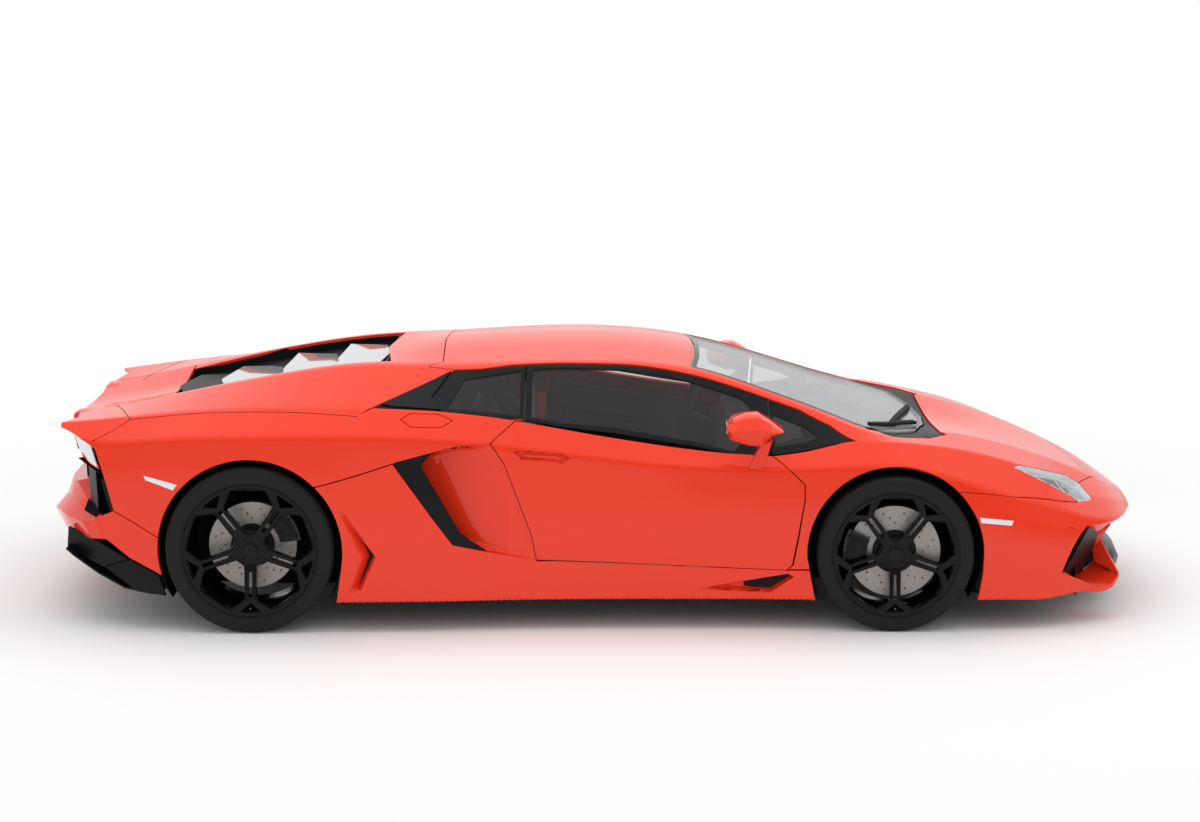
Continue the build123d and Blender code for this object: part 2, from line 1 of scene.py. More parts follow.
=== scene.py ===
"""The finish of a mid-engined supercar coupe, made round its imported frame. Lengths are in metres.

+X points to the nose, +Y to the car's left, +Z up, with the origin on the ground. The body's skin is one
smooth surface over (x, v): x is the station in millimetres, and v runs over the section from the centre
line (0) over the rail (1), belt (2), shoulder (3), flank (4) and sill (5) to the floor (6), above zero on
the car's right and below zero on its left. Each panel is a region of that surface between its shut lines.
"""

from math import cos, pi, radians, sin

import bmesh
import bpy
import numpy as np
from mathutils import Matrix, Vector
from mathutils.geometry import delaunay_2d_cdt


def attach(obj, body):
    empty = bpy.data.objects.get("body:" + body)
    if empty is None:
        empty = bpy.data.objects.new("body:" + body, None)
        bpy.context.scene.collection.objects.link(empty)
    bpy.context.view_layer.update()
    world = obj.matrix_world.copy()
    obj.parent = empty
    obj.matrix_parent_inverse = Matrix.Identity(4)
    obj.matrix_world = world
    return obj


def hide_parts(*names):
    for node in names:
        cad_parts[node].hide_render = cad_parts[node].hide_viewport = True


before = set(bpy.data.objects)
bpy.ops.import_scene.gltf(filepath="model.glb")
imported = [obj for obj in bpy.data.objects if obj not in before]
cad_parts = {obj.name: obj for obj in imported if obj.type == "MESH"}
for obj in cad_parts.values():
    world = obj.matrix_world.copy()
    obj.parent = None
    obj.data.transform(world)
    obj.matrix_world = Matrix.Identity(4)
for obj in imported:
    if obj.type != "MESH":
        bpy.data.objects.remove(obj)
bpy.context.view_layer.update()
MM = 0.001

# ---------------------------------------------------------------- the body's lines, in millimetres
SECTIONS = np.array((
    # x, top z, rail y, z, belt y, z, shoulder y, z, flank y, z, sill y, z
    (-2250, 812, 420, 838, 735, 852, 800, 815, 845, 560, 800, 230),
    (-2070, 828, 425, 868, 770, 872, 890, 800, 925, 580, 880, 185),
    (-1830, 862, 430, 920, 790, 898, 960, 818, 985, 580, 965, 150),
    (-1425, 950, 440, 1002, 810, 925, 985, 838, 1015, 560, 1000, 130),
    (-1000, 1045, 470, 1062, 850, 930, 985, 838, 1015, 500, 1000, 130),
    (-640, 1112, 545, 1068, 865, 915, 965, 820, 995, 480, 985, 130),
    (-300, 1130, 585, 1082, 868, 882, 945, 782, 968, 470, 955, 130),
    (0, 1134, 590, 1086, 868, 838, 938, 742, 958, 470, 942, 130),
    (430, 1092, 560, 1048, 862, 772, 935, 700, 958, 470, 940, 130),
    (730, 1016, 606, 966, 852, 752, 938, 690, 962, 470, 944, 130),
    (1000, 925, 678, 874, 840, 778, 946, 700, 975, 470, 960, 130),
    (1275, 815, 735, 792, 830, 784, 955, 705, 992, 460, 975, 130),
    (1500, 738, 520, 768, 780, 752, 948, 660, 990, 450, 968, 130),
    (1760, 700, 450, 712, 740, 688, 925, 575, 972, 420, 950, 130),
    (1960, 640, 390, 645, 690, 605, 868, 510, 925, 390, 905, 130),
    (2120, 580, 330, 578, 600, 520, 790, 450, 850, 340, 825, 132),
    (2290, 492, 220, 488, 430, 455, 560, 415, 650, 320, 640, 135),
    (2390, 424, 90, 420, 200, 408, 250, 392, 260, 372, 250, 352),
), dtype=float)
FLOOR_TUCK = 90.0  # from the sill's edge inwards
TOP, RAIL, BELT, SHOULDER, FLANK, SILL, TUCK = range(7)
# how far each line is rounded, as a share of the span on either side
SOFTNESS = np.array((0.5, 0.09, 0.07, 0.09, 0.5, 0.07, 0.0))
# developed width from the centre line to each line, to triangulate in
WIDTH_TO = np.array((0.0, 500.0, 800.0, 930.0, 1250.0, 1580.0, 1670.0))
# lines where the surface bends, which get rows of points
ROWS = np.sort(np.concatenate([
    line + SOFTNESS[line] * np.linspace(-1.0, 1.0, 5) for line in (RAIL, BELT, SHOULDER, SILL)
]))


def spline_bends(xs, ys):
    """The second derivatives of a natural cubic spline through the points."""
    count = len(xs)
    h = np.diff(xs)
    matrix = np.eye(count)
    right = np.zeros_like(ys)
    for i in range(1, count - 1):
        matrix[i, i - 1], matrix[i, i], matrix[i, i + 1] = h[i - 1], 2 * (h[i - 1] + h[i]), h[i]
        right[i] = 6 * ((ys[i + 1] - ys[i]) / h[i] - (ys[i] - ys[i - 1]) / h[i - 1])
    return np.linalg.solve(matrix, right)


STATIONS = SECTIONS[:, 0]
BENDS = spline_bends(STATIONS, SECTIONS[:, 1:])


def section(x):
    """The corner points (y, z) of the sections at stations x, as an array (count, 7, 2)."""
    x = np.asarray(x, dtype=float)
    i = np.clip(np.searchsorted(STATIONS, x) - 1, 0, len(STATIONS) - 2)
    h = (STATIONS[i + 1] - STATIONS[i])[:, None]
    a = (STATIONS[i + 1] - x)[:, None]
    b = (x - STATIONS[i])[:, None]
    low, high = SECTIONS[i, 1:], SECTIONS[i + 1, 1:]
    values = (BENDS[i] * a**3 + BENDS[i + 1] * b**3) / (6 * h)
    values += (low / h - BENDS[i] * h / 6) * a + (high / h - BENDS[i + 1] * h / 6) * b
    corners = np.zeros((len(x), 7, 2))
    corners[:, 0, 1] = values[:, 0]
    corners[:, 1:6] = values[:, 1:].reshape(-1, 5, 2)
    corners[:, 6] = corners[:, 5] - (FLOOR_TUCK, 0)
    return corners


def skin(x, v):
    """Points of the body's surface in millimetres, as an array (count, 3)."""
    x, v = np.asarray(x, dtype=float), np.asarray(v, dtype=float)
    hand, v = np.where(v < 0, 1.0, -1.0), np.clip(np.abs(v), 0, TUCK)
    corners = section(x)
    each = np.arange(len(x))
    near = np.minimum(np.floor(v + 0.5), TUCK).astype(int)
    here = corners[each, near]
    before = np.where(near[:, None] > 0, corners[each, np.maximum(near - 1, 0)], corners[each, 1] * (-1, 1))
    after = corners[each, np.minimum(near + 1, TUCK)]
    soft = SOFTNESS[near]
    safe = np.maximum(soft, 1e-6)
    t = ((v - near + soft) / (2 * safe))[:, None]
    a = here + (before - here) * soft[:, None]
    b = here + (after - here) * soft[:, None]
    curved = a * (1 - t) ** 2 + here * 2 * t * (1 - t) + b * t**2
    low = np.minimum(np.floor(v), SILL).astype(int)
    start = corners[each, low]
    straight = start + (corners[each, low + 1] - start) * (v - low)[:, None]
    yz = np.where((np.abs(v - near) < soft)[:, None], curved, straight)
    return np.column_stack((x, hand * yz[:, 0], yz[:, 1]))


def unit(vectors):
    """The vectors brought to length one, row by row."""
    return vectors / np.maximum(np.linalg.norm(vectors, axis=1), 1e-9)[:, None]


def skin_normals(x, v):
    """The outward unit normals there."""
    x, v = np.asarray(x, dtype=float), np.asarray(v, dtype=float)
    dx, dv = 4.0, 0.01
    along = skin(x + dx, v) - skin(x - dx, v)
    over = skin(x, v + dv) - skin(x, v - dv)
    return unit(np.cross(over, along))


HALVINGS = 40  # the steps in a search for a line


def solve_line(x, wanted, column, low, high, rising):
    """The line v at station x where the surface's y or z (column 1 or 2) is as wanted."""
    for _ in range(HALVINGS):
        middle = (low + high) / 2
        value = abs(skin([x], [middle])[0, column])
        if (value < wanted) == rising:
            low = middle
        else:
            high = middle
    return (low + high) / 2


def side(*points):
    """(x, z) points in side view, on the right side's surface, as (x, v)."""
    return [(x, solve_line(x, z, 2, 1.0, 6.0, False)) for x, z in points]


def top(*points):
    """(x, y) points in plan view, on the upper surface, as (x, v)."""
    return [(x, solve_line(x, abs(y), 1, 0.0, 3.6, True) * (-1 if y > 0 else 1)) for x, y in points]


def arc(x, z, radius, start, end, count):
    """Points of an arc in side view, angles in degrees from +X towards +Z."""
    steps = np.linspace(radians(start), radians(end), count)
    return [(x + radius * cos(a), z + radius * sin(a)) for a in steps]


def mirror_line(points):
    """The same line on the other side, in the opposite order."""
    return [(x, -v) for x, v in reversed(points)]


def to_plane(points):
    """(x, v) to the developed plane."""
    points = np.asarray(points, dtype=float)
    wide = np.sign(points[:, 1]) * np.interp(np.abs(points[:, 1]), range(7), WIDTH_TO)
    return np.column_stack((points[:, 0], wide))


def from_plane(points):
    """Points of the developed plane to x and v."""
    wide = points[:, 1]
    return points[:, 0], np.sign(wide) * np.interp(np.abs(wide), WIDTH_TO, range(7))


def offset_loop(points, distance):
    """A closed loop moved towards its left by distance, with mitred corners."""
    ahead = unit(np.roll(points, -1, 0) - points)
    behind = np.roll(ahead, 1, 0)
    left = np.column_stack((-ahead[:, 1], ahead[:, 0])) + np.column_stack((-behind[:, 1], behind[:, 0]))
    size = (left**2).sum(1)
    return points + left * (2 * distance / np.maximum(size, 0.8))[:, None]


def dense_loop(points, spacing):
    """A closed loop with points added along its edges."""
    out = []
    for a, b in zip(points, np.roll(points, -1, 0)):
        steps = max(1, int(np.ceil(np.linalg.norm(b - a) / spacing)))
        out.extend(a + (b - a) * k / steps for k in range(steps))
    return np.array(out)


def inside(points, loop):
    """Which of the points lie inside the closed loop."""
    result = np.zeros(len(points), dtype=bool)
    x, y = points[:, 0], points[:, 1]
    for (x0, y0), (x1, y1) in zip(loop, np.roll(loop, -1, 0)):
        if y0 == y1:
            continue
        crosses = (y0 > y) != (y1 > y)
        result ^= crosses & (x < (x1 - x0) * (y - y0) / (y1 - y0) + x0)
    return result


def distance_to(points, loop):
    """The distance of each point from the loop's edges."""
    best = np.full(len(points), np.inf)
    for a, b in zip(loop, np.roll(loop, -1, 0)):
        edge = b - a
        share = np.clip(((points - a) @ edge) / max(edge @ edge, 1e-9), 0, 1)
        best = np.minimum(best, np.linalg.norm(points - a - share[:, None] * edge, axis=1))
    return best


def area(points):
    """The area inside a closed loop, above zero where it runs anticlockwise."""
    x, y = points[:, 0], points[:, 1]
    return 0.5 * np.sum(x * np.roll(y, -1) - y * np.roll(x, -1))


SKIN_ROWS = np.interp(ROWS, range(7), WIDTH_TO)
ROW_GAP = 4.0  # the least distance between two rows of points
EDGE_SHARE, CLEAR_SHARE = 0.7, 0.4  # the step along edges, and the clear strip beside them, over the spacing


def triangulated(loops, spacing, extra_rows=()):
    """Points and triangles of the region inside the first loop and outside the others."""
    outer, *holes = loops

    def within(places):
        result = inside(places, outer)
        for hole in holes:
            result &= ~inside(places, hole)
        return result

    low, high = outer.min(0), outer.max(0)
    rows = {sign * row for row in extra_rows for sign in (1, -1)}
    rows |= set(np.arange(np.ceil(low[1] / spacing) * spacing, high[1], spacing))
    kept = []
    for row in sorted(row for row in rows if low[1] < row < high[1]):
        if not kept or row - kept[-1] > ROW_GAP:
            kept.append(row)
    grid = [np.zeros((0, 2))]
    for number, row in enumerate(kept):
        xs = np.arange(low[0] + (spacing / 2 if number % 2 else 0.0), high[0], spacing)
        grid.append(np.column_stack((xs, np.full(len(xs), row))))
    inner = np.concatenate(grid)
    inner = inner[within(inner)]
    for loop in loops:
        inner = inner[distance_to(inner, loop) > spacing * CLEAR_SHARE]
    points, edges, starts = [], [], []
    for loop in loops:
        start = len(points)
        starts.append(start)
        points.extend(loop)
        edges.extend((start + k, start + (k + 1) % len(loop)) for k in range(len(loop)))
    points.extend(inner)
    result = delaunay_2d_cdt([Vector(p) for p in points], edges, [], 0, 1e-4)
    verts, faces, sources = np.array([tuple(p) for p in result[0]]), np.array(result[2]), result[3]
    place = {old: new for new, olds in enumerate(sources) for old in olds}
    chains = [[place[start + k] for k in range(len(loop))] for start, loop in zip(starts, loops)]
    return verts, faces[within(verts[faces].mean(1))], chains


RIGHT, BOTH = ("right",), ("right", "left")


def link(name, mesh, material, body):
    """Puts a finished mesh in the scene.
    """
    piece = bpy.data.objects.new(name, mesh)
    bpy.context.collection.objects.link(piece)
    mesh.materials.append(material)
    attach(piece, body)
    return piece


def stands_for(nodes, hand):
    """Says which nodes of the frame a piece replaces."""
    if nodes:
        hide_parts(*(node.replace("SIDE", hand) for node in nodes))


def tag(name, hand, hands):
    """A piece's name, with its hand where there are two."""
    return name if len(hands) == 1 else f"{name}_{hand}"


def placed(name, data, material, body="body", hands=BOTH, replaced=()):
    """Smooth pieces from points in millimetres, faces and, where given, a normal for each corner.

    The data are the right side's. SIDE in the name of a body or node becomes the hand.
    """
    points, faces, normals = data
    for hand in hands:
        turn = -1 if hand == "left" else 1
        mesh = bpy.data.meshes.new(tag(name, hand, hands))
        places = np.array(points, dtype=float) * MM * (1, turn, 1)
        mesh.from_pydata(places.tolist(), [], [list(face)[::turn] for face in faces])
        mesh.update()
        piece = link(mesh.name, mesh, material, body.replace("SIDE", hand))
        mesh.shade_smooth()
        if normals is not None:
            corners = (np.array(corner, dtype=float)[::turn] * (1, turn, 1) for corner in normals)
            mesh.normals_split_custom_set([tuple(n) for corner in corners for n in corner])
        stands_for(replaced, hand)


ROUND = 1.6  # the small radius at a panel's edges


def on_skin(depth=0.0):
    """Places developed points on the body's surface, or depth below it."""

    def place(points):
        x, v = from_plane(points)
        normals = skin_normals(x, v)
        return skin(x, v) - normals * depth, normals

    return place


def plate(outlines, place, thick, gap=0.0, spacing=24.0, rounding=ROUND, rows=(), hole_gap=None):
    """The points, faces and corner normals of a plate with rounded edges and holes.

    The outlines lie in a plane, the first outside the others. place turns points of the plane into points
    of the plate's front and its normals there.
    """
    loops = []
    for number, points in enumerate(outlines):
        loop = np.asarray(points, dtype=float)
        if (area(loop) > 0) == bool(number):
            loop = loop[::-1]
        back_off = hole_gap if number and hole_gap is not None else gap
        loop = offset_loop(loop, back_off) if back_off else loop
        loops.append(dense_loop(loop, spacing * EDGE_SHARE))
    verts, faces, chains = triangulated([offset_loop(loop, rounding) for loop in loops], spacing, rows)
    surface, normals = place(verts)
    count = len(surface)
    first = surface[faces[:, 1]] - surface[faces[:, 0]]
    second = surface[faces[:, 2]] - surface[faces[:, 0]]
    wrong = (np.cross(first, second) * normals[faces[:, 0]]).sum(1) < 0
    faces[wrong] = faces[wrong][:, ::-1]
    points = [surface, surface - normals * thick]
    all_faces = [list(f) for f in faces] + [[i + count for i in f[::-1]] for f in faces]
    corners = [normals[f] for f in faces] + [-normals[f[::-1]] for f in faces]
    total = 2 * count
    edge_quads = []
    for loop, chain in zip(loops, chains):
        edge, edge_normals = place(loop)
        outward = unit(np.cross(np.roll(edge, -1, 0) - np.roll(edge, 1, 0), edge_normals))
        if (outward * (edge - surface[chain])).sum() < 0:
            outward = -outward
        n = len(loop)
        points.extend((edge - edge_normals * rounding, edge - edge_normals * (thick - rounding)))
        rings = np.array((chain, np.arange(n) + total, np.arange(n) + total + n, np.array(chain) + count))
        shades = np.array((normals[chain], outward, outward, -normals[chain]))
        for level in range(3):
            for k in range(n):
                j = (k + 1) % n
                corner_places = ((level, k), (level, j), (level + 1, j), (level + 1, k))
                quad = [rings[at] for at in corner_places]
                edge_quads.append((quad, np.array([shades[at] for at in corner_places])))
        total += 2 * n
    points = np.concatenate(points)
    for quad, shade in edge_quads:
        a, b, c, d = points[quad]
        if np.dot(np.cross(c - a, d - b), shade.sum(0)) < 0:
            quad, shade = quad[::-1], shade[::-1]
        all_faces.append(quad)
        corners.append(shade)
    return points, all_faces, corners


def panel(outline, holes=(), thick=14.0, gap=2.2, spacing=24.0, depth=0.0, hole_gap=None):
    """One panel: a region of the skin with its returned edges."""
    loops = [to_plane(points) for points in (outline, *holes)]
    return plate(loops, on_skin(depth), thick, gap, spacing, rows=SKIN_ROWS, hole_gap=hole_gap)


def body_panel(name, material, outline, body="body", slot=None, replaced=(), **options):
    """A panel that crosses the car's middle, or one on the right side alone."""
    placed(name, panel(outline, **options), material, body, RIGHT, replaced)


# ---------------------------------------------------------------- materials
def add_node(tree, kind, inputs, **settings):
    """A new shader node with its settings made, and its inputs set or linked."""
    new = tree.nodes.new("ShaderNode" + kind)
    for key, value in settings.items():
        setattr(new, key, value)
    for key, value in inputs.items():
        if isinstance(value, bpy.types.NodeSocket):
            tree.links.new(value, new.inputs[key])
        else:
            new.inputs[key].default_value = value
    return new


def principled(name, color, roughness, **inputs):
    """A plain material; the names of further inputs have _ for a space."""
    material = bpy.data.materials.new(name)
    material.use_nodes = True
    shader = material.node_tree.nodes["Principled BSDF"]
    shader.inputs["Base Color"].default_value = (*color, 1)
    shader.inputs["Roughness"].default_value = roughness
    for key, value in inputs.items():
        shader.inputs[key.replace("_", " ")].default_value = value
    return material


def finish(name, color, roughness, scale, color_change, rough_change, bump=0.0, kind="noise",
           stretch=(1, 1, 1), **inputs):
    """A material with procedural variation: scale is the grain's, and the changes are shares of the value."""
    material = principled(name, color, roughness, **inputs)
    tree = material.node_tree
    shader = tree.nodes["Principled BSDF"]
    place = add_node(tree, "TexCoord", {}).outputs["Object"]
    mapping = add_node(tree, "Mapping", {"Scale": stretch, "Vector": place})
    grain = {"Scale": scale, "Vector": mapping.outputs["Vector"]}
    if kind == "noise":
        out = add_node(tree, "TexNoise", {"Detail": 4.0, **grain}).outputs["Fac"]
    else:
        out = add_node(tree, "TexVoronoi", grain).outputs["Distance"]
    ramp = add_node(tree, "ValToRGB", {"Fac": out})
    factors = (1 - color_change, 1 + color_change)
    for stop, position, factor in zip(ramp.color_ramp.elements, (0.3, 0.7), factors):
        stop.position = position
        stop.color = (*[min(1, value * factor) for value in color], 1)
    tree.links.new(ramp.outputs["Color"], shader.inputs["Base Color"])
    spread = {"To Min": roughness * (1 - rough_change), "To Max": min(1.0, roughness * (1 + rough_change))}
    spread = add_node(tree, "MapRange", {**spread, "Value": out})
    tree.links.new(spread.outputs["Result"], shader.inputs["Roughness"])
    if bump:
        relief = add_node(tree, "Bump", {"Strength": 0.6, "Distance": bump, "Height": out})
        tree.links.new(relief.outputs["Normal"], shader.inputs["Normal"])
    return material


# colour, roughness, the grain's scale, its changes of colour and roughness, and its relief in metres
paint = finish("paint", (0.85, 0.042, 0.013), 0.5, 900, 0.04, 0.1, Coat_Weight=0.8, Coat_Roughness=0.045,
               Specular_IOR_Level=0.0)
black = finish("black_trim", (0.006, 0.007, 0.008), 0.42, 600, 0.2, 0.15, 0.00008, Specular_IOR_Level=0.16)
gloss_black = finish("gloss_black", (0.004, 0.004, 0.005), 0.14, 40, 0.2, 0.2, Specular_IOR_Level=0.18)
satin_black = finish("satin_black", (0.005, 0.0055, 0.006), 0.26, 300, 0.1, 0.15, Specular_IOR_Level=0.2)
rough_black = finish("rough_black", (0.006, 0.006, 0.0065), 0.85, 260, 0.2, 0.1, 0.0004,
                     Specular_IOR_Level=0.1)
rubber = finish("rubber", (0.0115, 0.0115, 0.012), 0.7, 300, 0.15, 0.12, 0.0001, Specular_IOR_Level=0.25)
structure = finish("structure", (0.012, 0.0125, 0.013), 0.6, 120, 0.25, 0.15, 0.0002, Specular_IOR_Level=0.25)
carpet = finish("carpet", (0.022, 0.022, 0.024), 0.95, 1400, 0.4, 0.05, 0.0008, Specular_IOR_Level=0.1)
leather = finish("leather", (0.055, 0.055, 0.058), 0.55, 900, 0.12, 0.12, 0.0003, "cells",
                 Specular_IOR_Level=0.35)
red_leather = finish("red_leather", (0.30, 0.022, 0.018), 0.5, 900, 0.12, 0.12, 0.0003, "cells",
                     Specular_IOR_Level=0.35)
belt_red = finish("belt_red", (0.42, 0.02, 0.02), 0.6, 500, 0.15, 0.1, 0.0003, stretch=(1, 1, 14),
                  Sheen_Weight=0.3)
pillar_grey = finish("pillar_grey", (0.24, 0.25, 0.26), 0.75, 700, 0.08, 0.1, 0.0003)
cast_metal = finish("cast_metal", (0.20, 0.20, 0.21), 0.5, 320, 0.2, 0.25, 0.0004, Metallic=0.8)
dark_metal = finish("dark_metal", (0.035, 0.036, 0.038), 0.5, 260, 0.25, 0.2, 0.0003, Metallic=0.5)
metal = finish("metal", (0.55, 0.55, 0.54), 0.28, 200, 0.1, 0.2, Metallic=1.0)
disc_metal = finish("disc_metal", (0.40, 0.38, 0.36), 0.42, 60, 0.12, 0.2, 0.00005, Metallic=0.55)
mirror_silver = finish("mirror_silver", (0.72, 0.75, 0.78), 0.03, 3, 0.03, 0.1, Metallic=1.0)
lamp_silver = finish("lamp_silver", (0.80, 0.86, 0.92), 0.28, 90, 0.16, 0.3, 0.0004, Metallic=0.25)
lamp_glass = finish("lamp_glass", (0.55, 0.60, 0.63), 0.02, 4, 0.03, 0.1, Alpha=0.22, Coat_Weight=1.0)
red_lens = finish("red_lens", (0.72, 0.008, 0.008), 0.12, 400, 0.1, 0.2, 0.0002, Coat_Weight=1.0)
white_lens = finish("white_lens", (0.80, 0.84, 0.85), 0.12, 220, 0.05, 0.2, 0.0003, Coat_Weight=0.8)
smoked = finish("smoked_glass", (0.05, 0.045, 0.048), 0.02, 3, 0.1, 0.1, Alpha=0.3)
# the windscreen's glass: its pale grey is partly its tint and partly a painted reflection of the bright
# surroundings
clear_glass = finish("clear_glass", (0.62, 0.66, 0.68), 0.02, 3, 0.05, 0.1, Alpha=0.42, Coat_Weight=1.0)
slat_glass = finish("slat_glass", (0.50, 0.55, 0.56), 0.06, 3, 0.05, 0.1, Alpha=0.92, Coat_Weight=1.0)


def circle(radius, count, x=0.0, y=0.0):
    """A closed ring of points."""
    turns = [2 * pi * k / count for k in range(count)]
    return np.array([(x + radius * cos(a), y + radius * sin(a)) for a in turns])


def there_and_back(line):
    """A line as a closed loop in the developed plane."""
    return to_plane(list(line) + list(line)[-2:0:-1])


def sunk(loop, depth, walls=None, wall=12.0, base=1.5):
    """Places developed points below the skin by depth(points), reached over a wall along the given lines."""
    lines = [loop] if walls is None else [there_and_back(line) for line in walls]

    def surface(points):
        x, v = from_plane(points)
        amount = depth(points) if callable(depth) else np.full(len(points), float(depth))
        for line in lines:
            near = np.clip(distance_to(points, line) / wall, 0, 1)
            amount = amount * near * near * (3 - 2 * near)
        start = base(points) + 1.5 if callable(base) else base
        return skin(x, v) - skin_normals(x, v) * (start + amount)[:, None]

    def place(points):
        here, step = surface(points), 0.7
        normals = unit(np.cross(surface(points + (0, step)) - here, surface(points + (step, 0)) - here))
        normals[(normals * skin_normals(*from_plane(points))).sum(1) < 0] *= -1
        return here, normals

    return place


def bowl(outline, depth, walls=None, wall=12.0, base=1.5, spacing=9.0, gap=-3.0):
    """A sheet sunk below an opening of the skin, reaching under the opening's edges."""
    loop = to_plane(outline)
    return plate([loop], sunk(loop, depth, walls, wall, base), 3.0, gap, spacing, rounding=0.8)


def slope_from(line, length, depth, power=1.0):
    """A depth that grows with the distance from a line."""
    rail = there_and_back(line)
    return lambda points: depth * np.clip(distance_to(points, rail) / length, 0, 1) ** power


def spot(x, v, radius, count=20):
    """A round outline on the skin."""
    return list(zip(*from_plane(circle(radius, count, x, np.interp(v, range(7), WIDTH_TO)))))


def both_ways(line):
    """A half outline from the centre line out and back, closed with the other side's."""
    return list(line) + mirror_line(line[1:-1])


# ---------------------------------------------------------------- shut lines of the right side
FRONT_HUB, REAR_HUB = 1275.0, -1425.0
FRONT_ARCH, REAR_ARCH = (1274, 334, 368), (-1425, 352, 386)  # x, z and radius of the wheel openings
DOOR = (
    (760, 735), (893, 625), (893, 560), (866, 400), (844, 283), (818, 259), (-228, 305), (-250, 360),
    (-300, 500), (-345, 640), (-420, 800), (-318, 884), (0, 828), (430, 762), (640, 742),
)
front_arch = [(918, 264), (908, 310)] + arc(*FRONT_ARCH, 178, 45, 26)
front_arch_nose = arc(*FRONT_ARCH, 45, 0, 9) + [(1640, 250)]
rear_arch = arc(*REAR_ARCH, 45, 172, 25)
LAMP_UPPER = [(2118, 1.61), (2056, 1.49), (1918, 1.80), (1796, 2.12)]
LAMP_LOWER = [(1891, 2.20), (2048, 2.33), (2084, 2.43)]
LAMP_TIP = [(2157, 2.17), (2144, 1.94)]
BUMPER_TOP = [(2065, 2.52), (1983, 2.72), (1796, 2.98), (1644, 3.15)]
CORNER_VENT = [(1350, 1.27), (1441, 1.41), (1534, 1.12)]
LID = top((1512, -478), (1524, -500), (1760, -455), (2000, -345), (2250, -230))
WINDOW_TOP = [(-583, 1.10), (-476, 1.09), (-346, 1.02), (-134, 0.99), (123, 1.00), (380, 1.05), (636, 1.08)]
WINDOW_REAR = [(-886, 1.88), (-968, 2.21), (-915, 1.97), (-658, 1.96), (-338, 2.00), (-281, 1.97)]
INTAKE_TOP = [(-823, 3.32), (-661, 3.17), (-558, 3.07), (-421, 2.98)]
INTAKE_FRONT = [(-421, 2.98), (-360, 3.25), (-249, 4.17), (-230, 4.47)]
INTAKE_LOW = [(-230, 4.47), (-433, 4.37), (-576, 4.29), (-823, 3.32)]
FLAP = [(-795, 2.32), (-757, 2.09), (-634, 2.05), (-581, 2.24), (-623, 2.53), (-750, 2.59)]
HANDLE = [(-325, 3.07), (-300, 3.03), (-130, 2.98), (-84, 3.05), (-117, 3.15), (-288, 3.16)]
VENT = [(-1050, 3.93), (-1023, 3.96), (-899, 4.45), (-961, 4.84), (-1012, 4.88), (-957, 4.46)]
SCOOP = [(850, 4.70), (826, 4.66), (440, 4.86), (752, 4.90)]
WINDSCREEN = top(
    (458, 0), (452, -250), (428, -500), (620, -540), (800, -585), (1010, -636), (1225, -690), (1400, -520),
    (1470, -250), (1492, 0)
)
TAIL_EDGE = [(-2000, 4.14), (-2048, 3.54), (-2079, 3.15), (-2092, 3.12), (-2246, 2.28)]

# ---------------------------------------------------------------- body panels
upper_side = (
    WINDSCREEN[:6] + top((1225, -697))
    + CORNER_VENT + LID[1:] + LAMP_UPPER + LAMP_LOWER + BUMPER_TOP
    + side(*reversed(front_arch))
    + side((822, 264), (847, 284), (868, 400), (893, 560), (893, 625), (760, 735), (905, 752))
    + [(1030, 2.03), (1117, 1.93), (1012, 1.33), (889, 1.13)] + WINDOW_TOP[::-1]
    + top((-700, -545), (-640, -480), (-655, 0))
)
body_panel("upper_body", paint, both_ways(upper_side), gap=1.8,
           replaced=("roof_frame", "fender_right", "fender_left"))

rear_side = (
    top((-655, 0), (-640, -480), (-700, -545))
    + WINDOW_TOP[:1] + WINDOW_REAR
    + side((-318, 884)) + INTAKE_TOP[::-1]
    + side(*rear_arch)
    + TAIL_EDGE + [(-2246, 2.0), (-2200, 1.6), (-2230, 1.05)]
    + top((-2230, -425), (-1850, -425), (-1850, -362), (-1425, -417), (-872, -432), (-915, 0))
)
body_panel("rear_body", paint, both_ways(rear_side), holes=[FLAP], gap=1.8,
           replaced=("quarter_right", "quarter_left"))
body_panel("fuel_flap", paint, FLAP, gap=0.9, thick=8.0)

placed("door_skin", panel(side(*DOOR), [HANDLE], hole_gap=0.0), paint, "door_SIDE", replaced=("door_SIDE",))
placed("handle_recess", bowl(HANDLE, 15.0, wall=11.0, spacing=6.0), paint, "door_SIDE")
lever = [(-285, 3.085), (-140, 3.05), (-112, 3.09), (-275, 3.125)]
placed("handle_lever", panel(lever, gap=0, thick=6.0, depth=9.0, spacing=12.0), paint, "door_SIDE")

sill_outline = (
    INTAKE_LOW[::-1] + side((-228, 303), (818, 262), (918, 262), (944, 131))
    + [(944, 5.6), (-1068, 5.6)] + side((-1068, 131), *arc(*REAR_ARCH, -9, 45, 12))
)
placed("sill", panel(sill_outline, [VENT, SCOOP], hole_gap=0.0), paint, replaced=("sills",))
vent_slope = slope_from(VENT[:1] + VENT[:3:-1], 52.0, 88.0, 1.3)
placed("arch_vent", bowl(VENT, vent_slope, [VENT[:5]], 14.0, spacing=5.0, gap=-9.0), paint)
scoop_slope = slope_from([SCOOP[2], (430, 4.87)], 400.0, 78.0)
placed("sill_scoop", bowl(SCOOP, scoop_slope, None, 11.0, spacing=5.0, gap=-7.0), paint)

intake_start = slope_from(INTAKE_FRONT, 70.0, 9.0)
intake_front = there_and_back(INTAKE_FRONT)


def intake_slope(points):
    """The duct's floor runs in towards the engine, just outside the scoop cut in the tub."""
    x, v = from_plane(points)
    floor_x = (-835, -629, -551, -466, -382, -325, -250)
    floor_y = np.interp(x, floor_x, (-842, -876, -898, -922, -940, -962, -990))
    reach = (floor_y - skin(x, v)[:, 1]) / -skin_normals(x, v)[:, 1] - intake_start(points)
    return np.maximum(reach, 0) * np.clip(distance_to(points, intake_front) / 90.0, 0, 1)


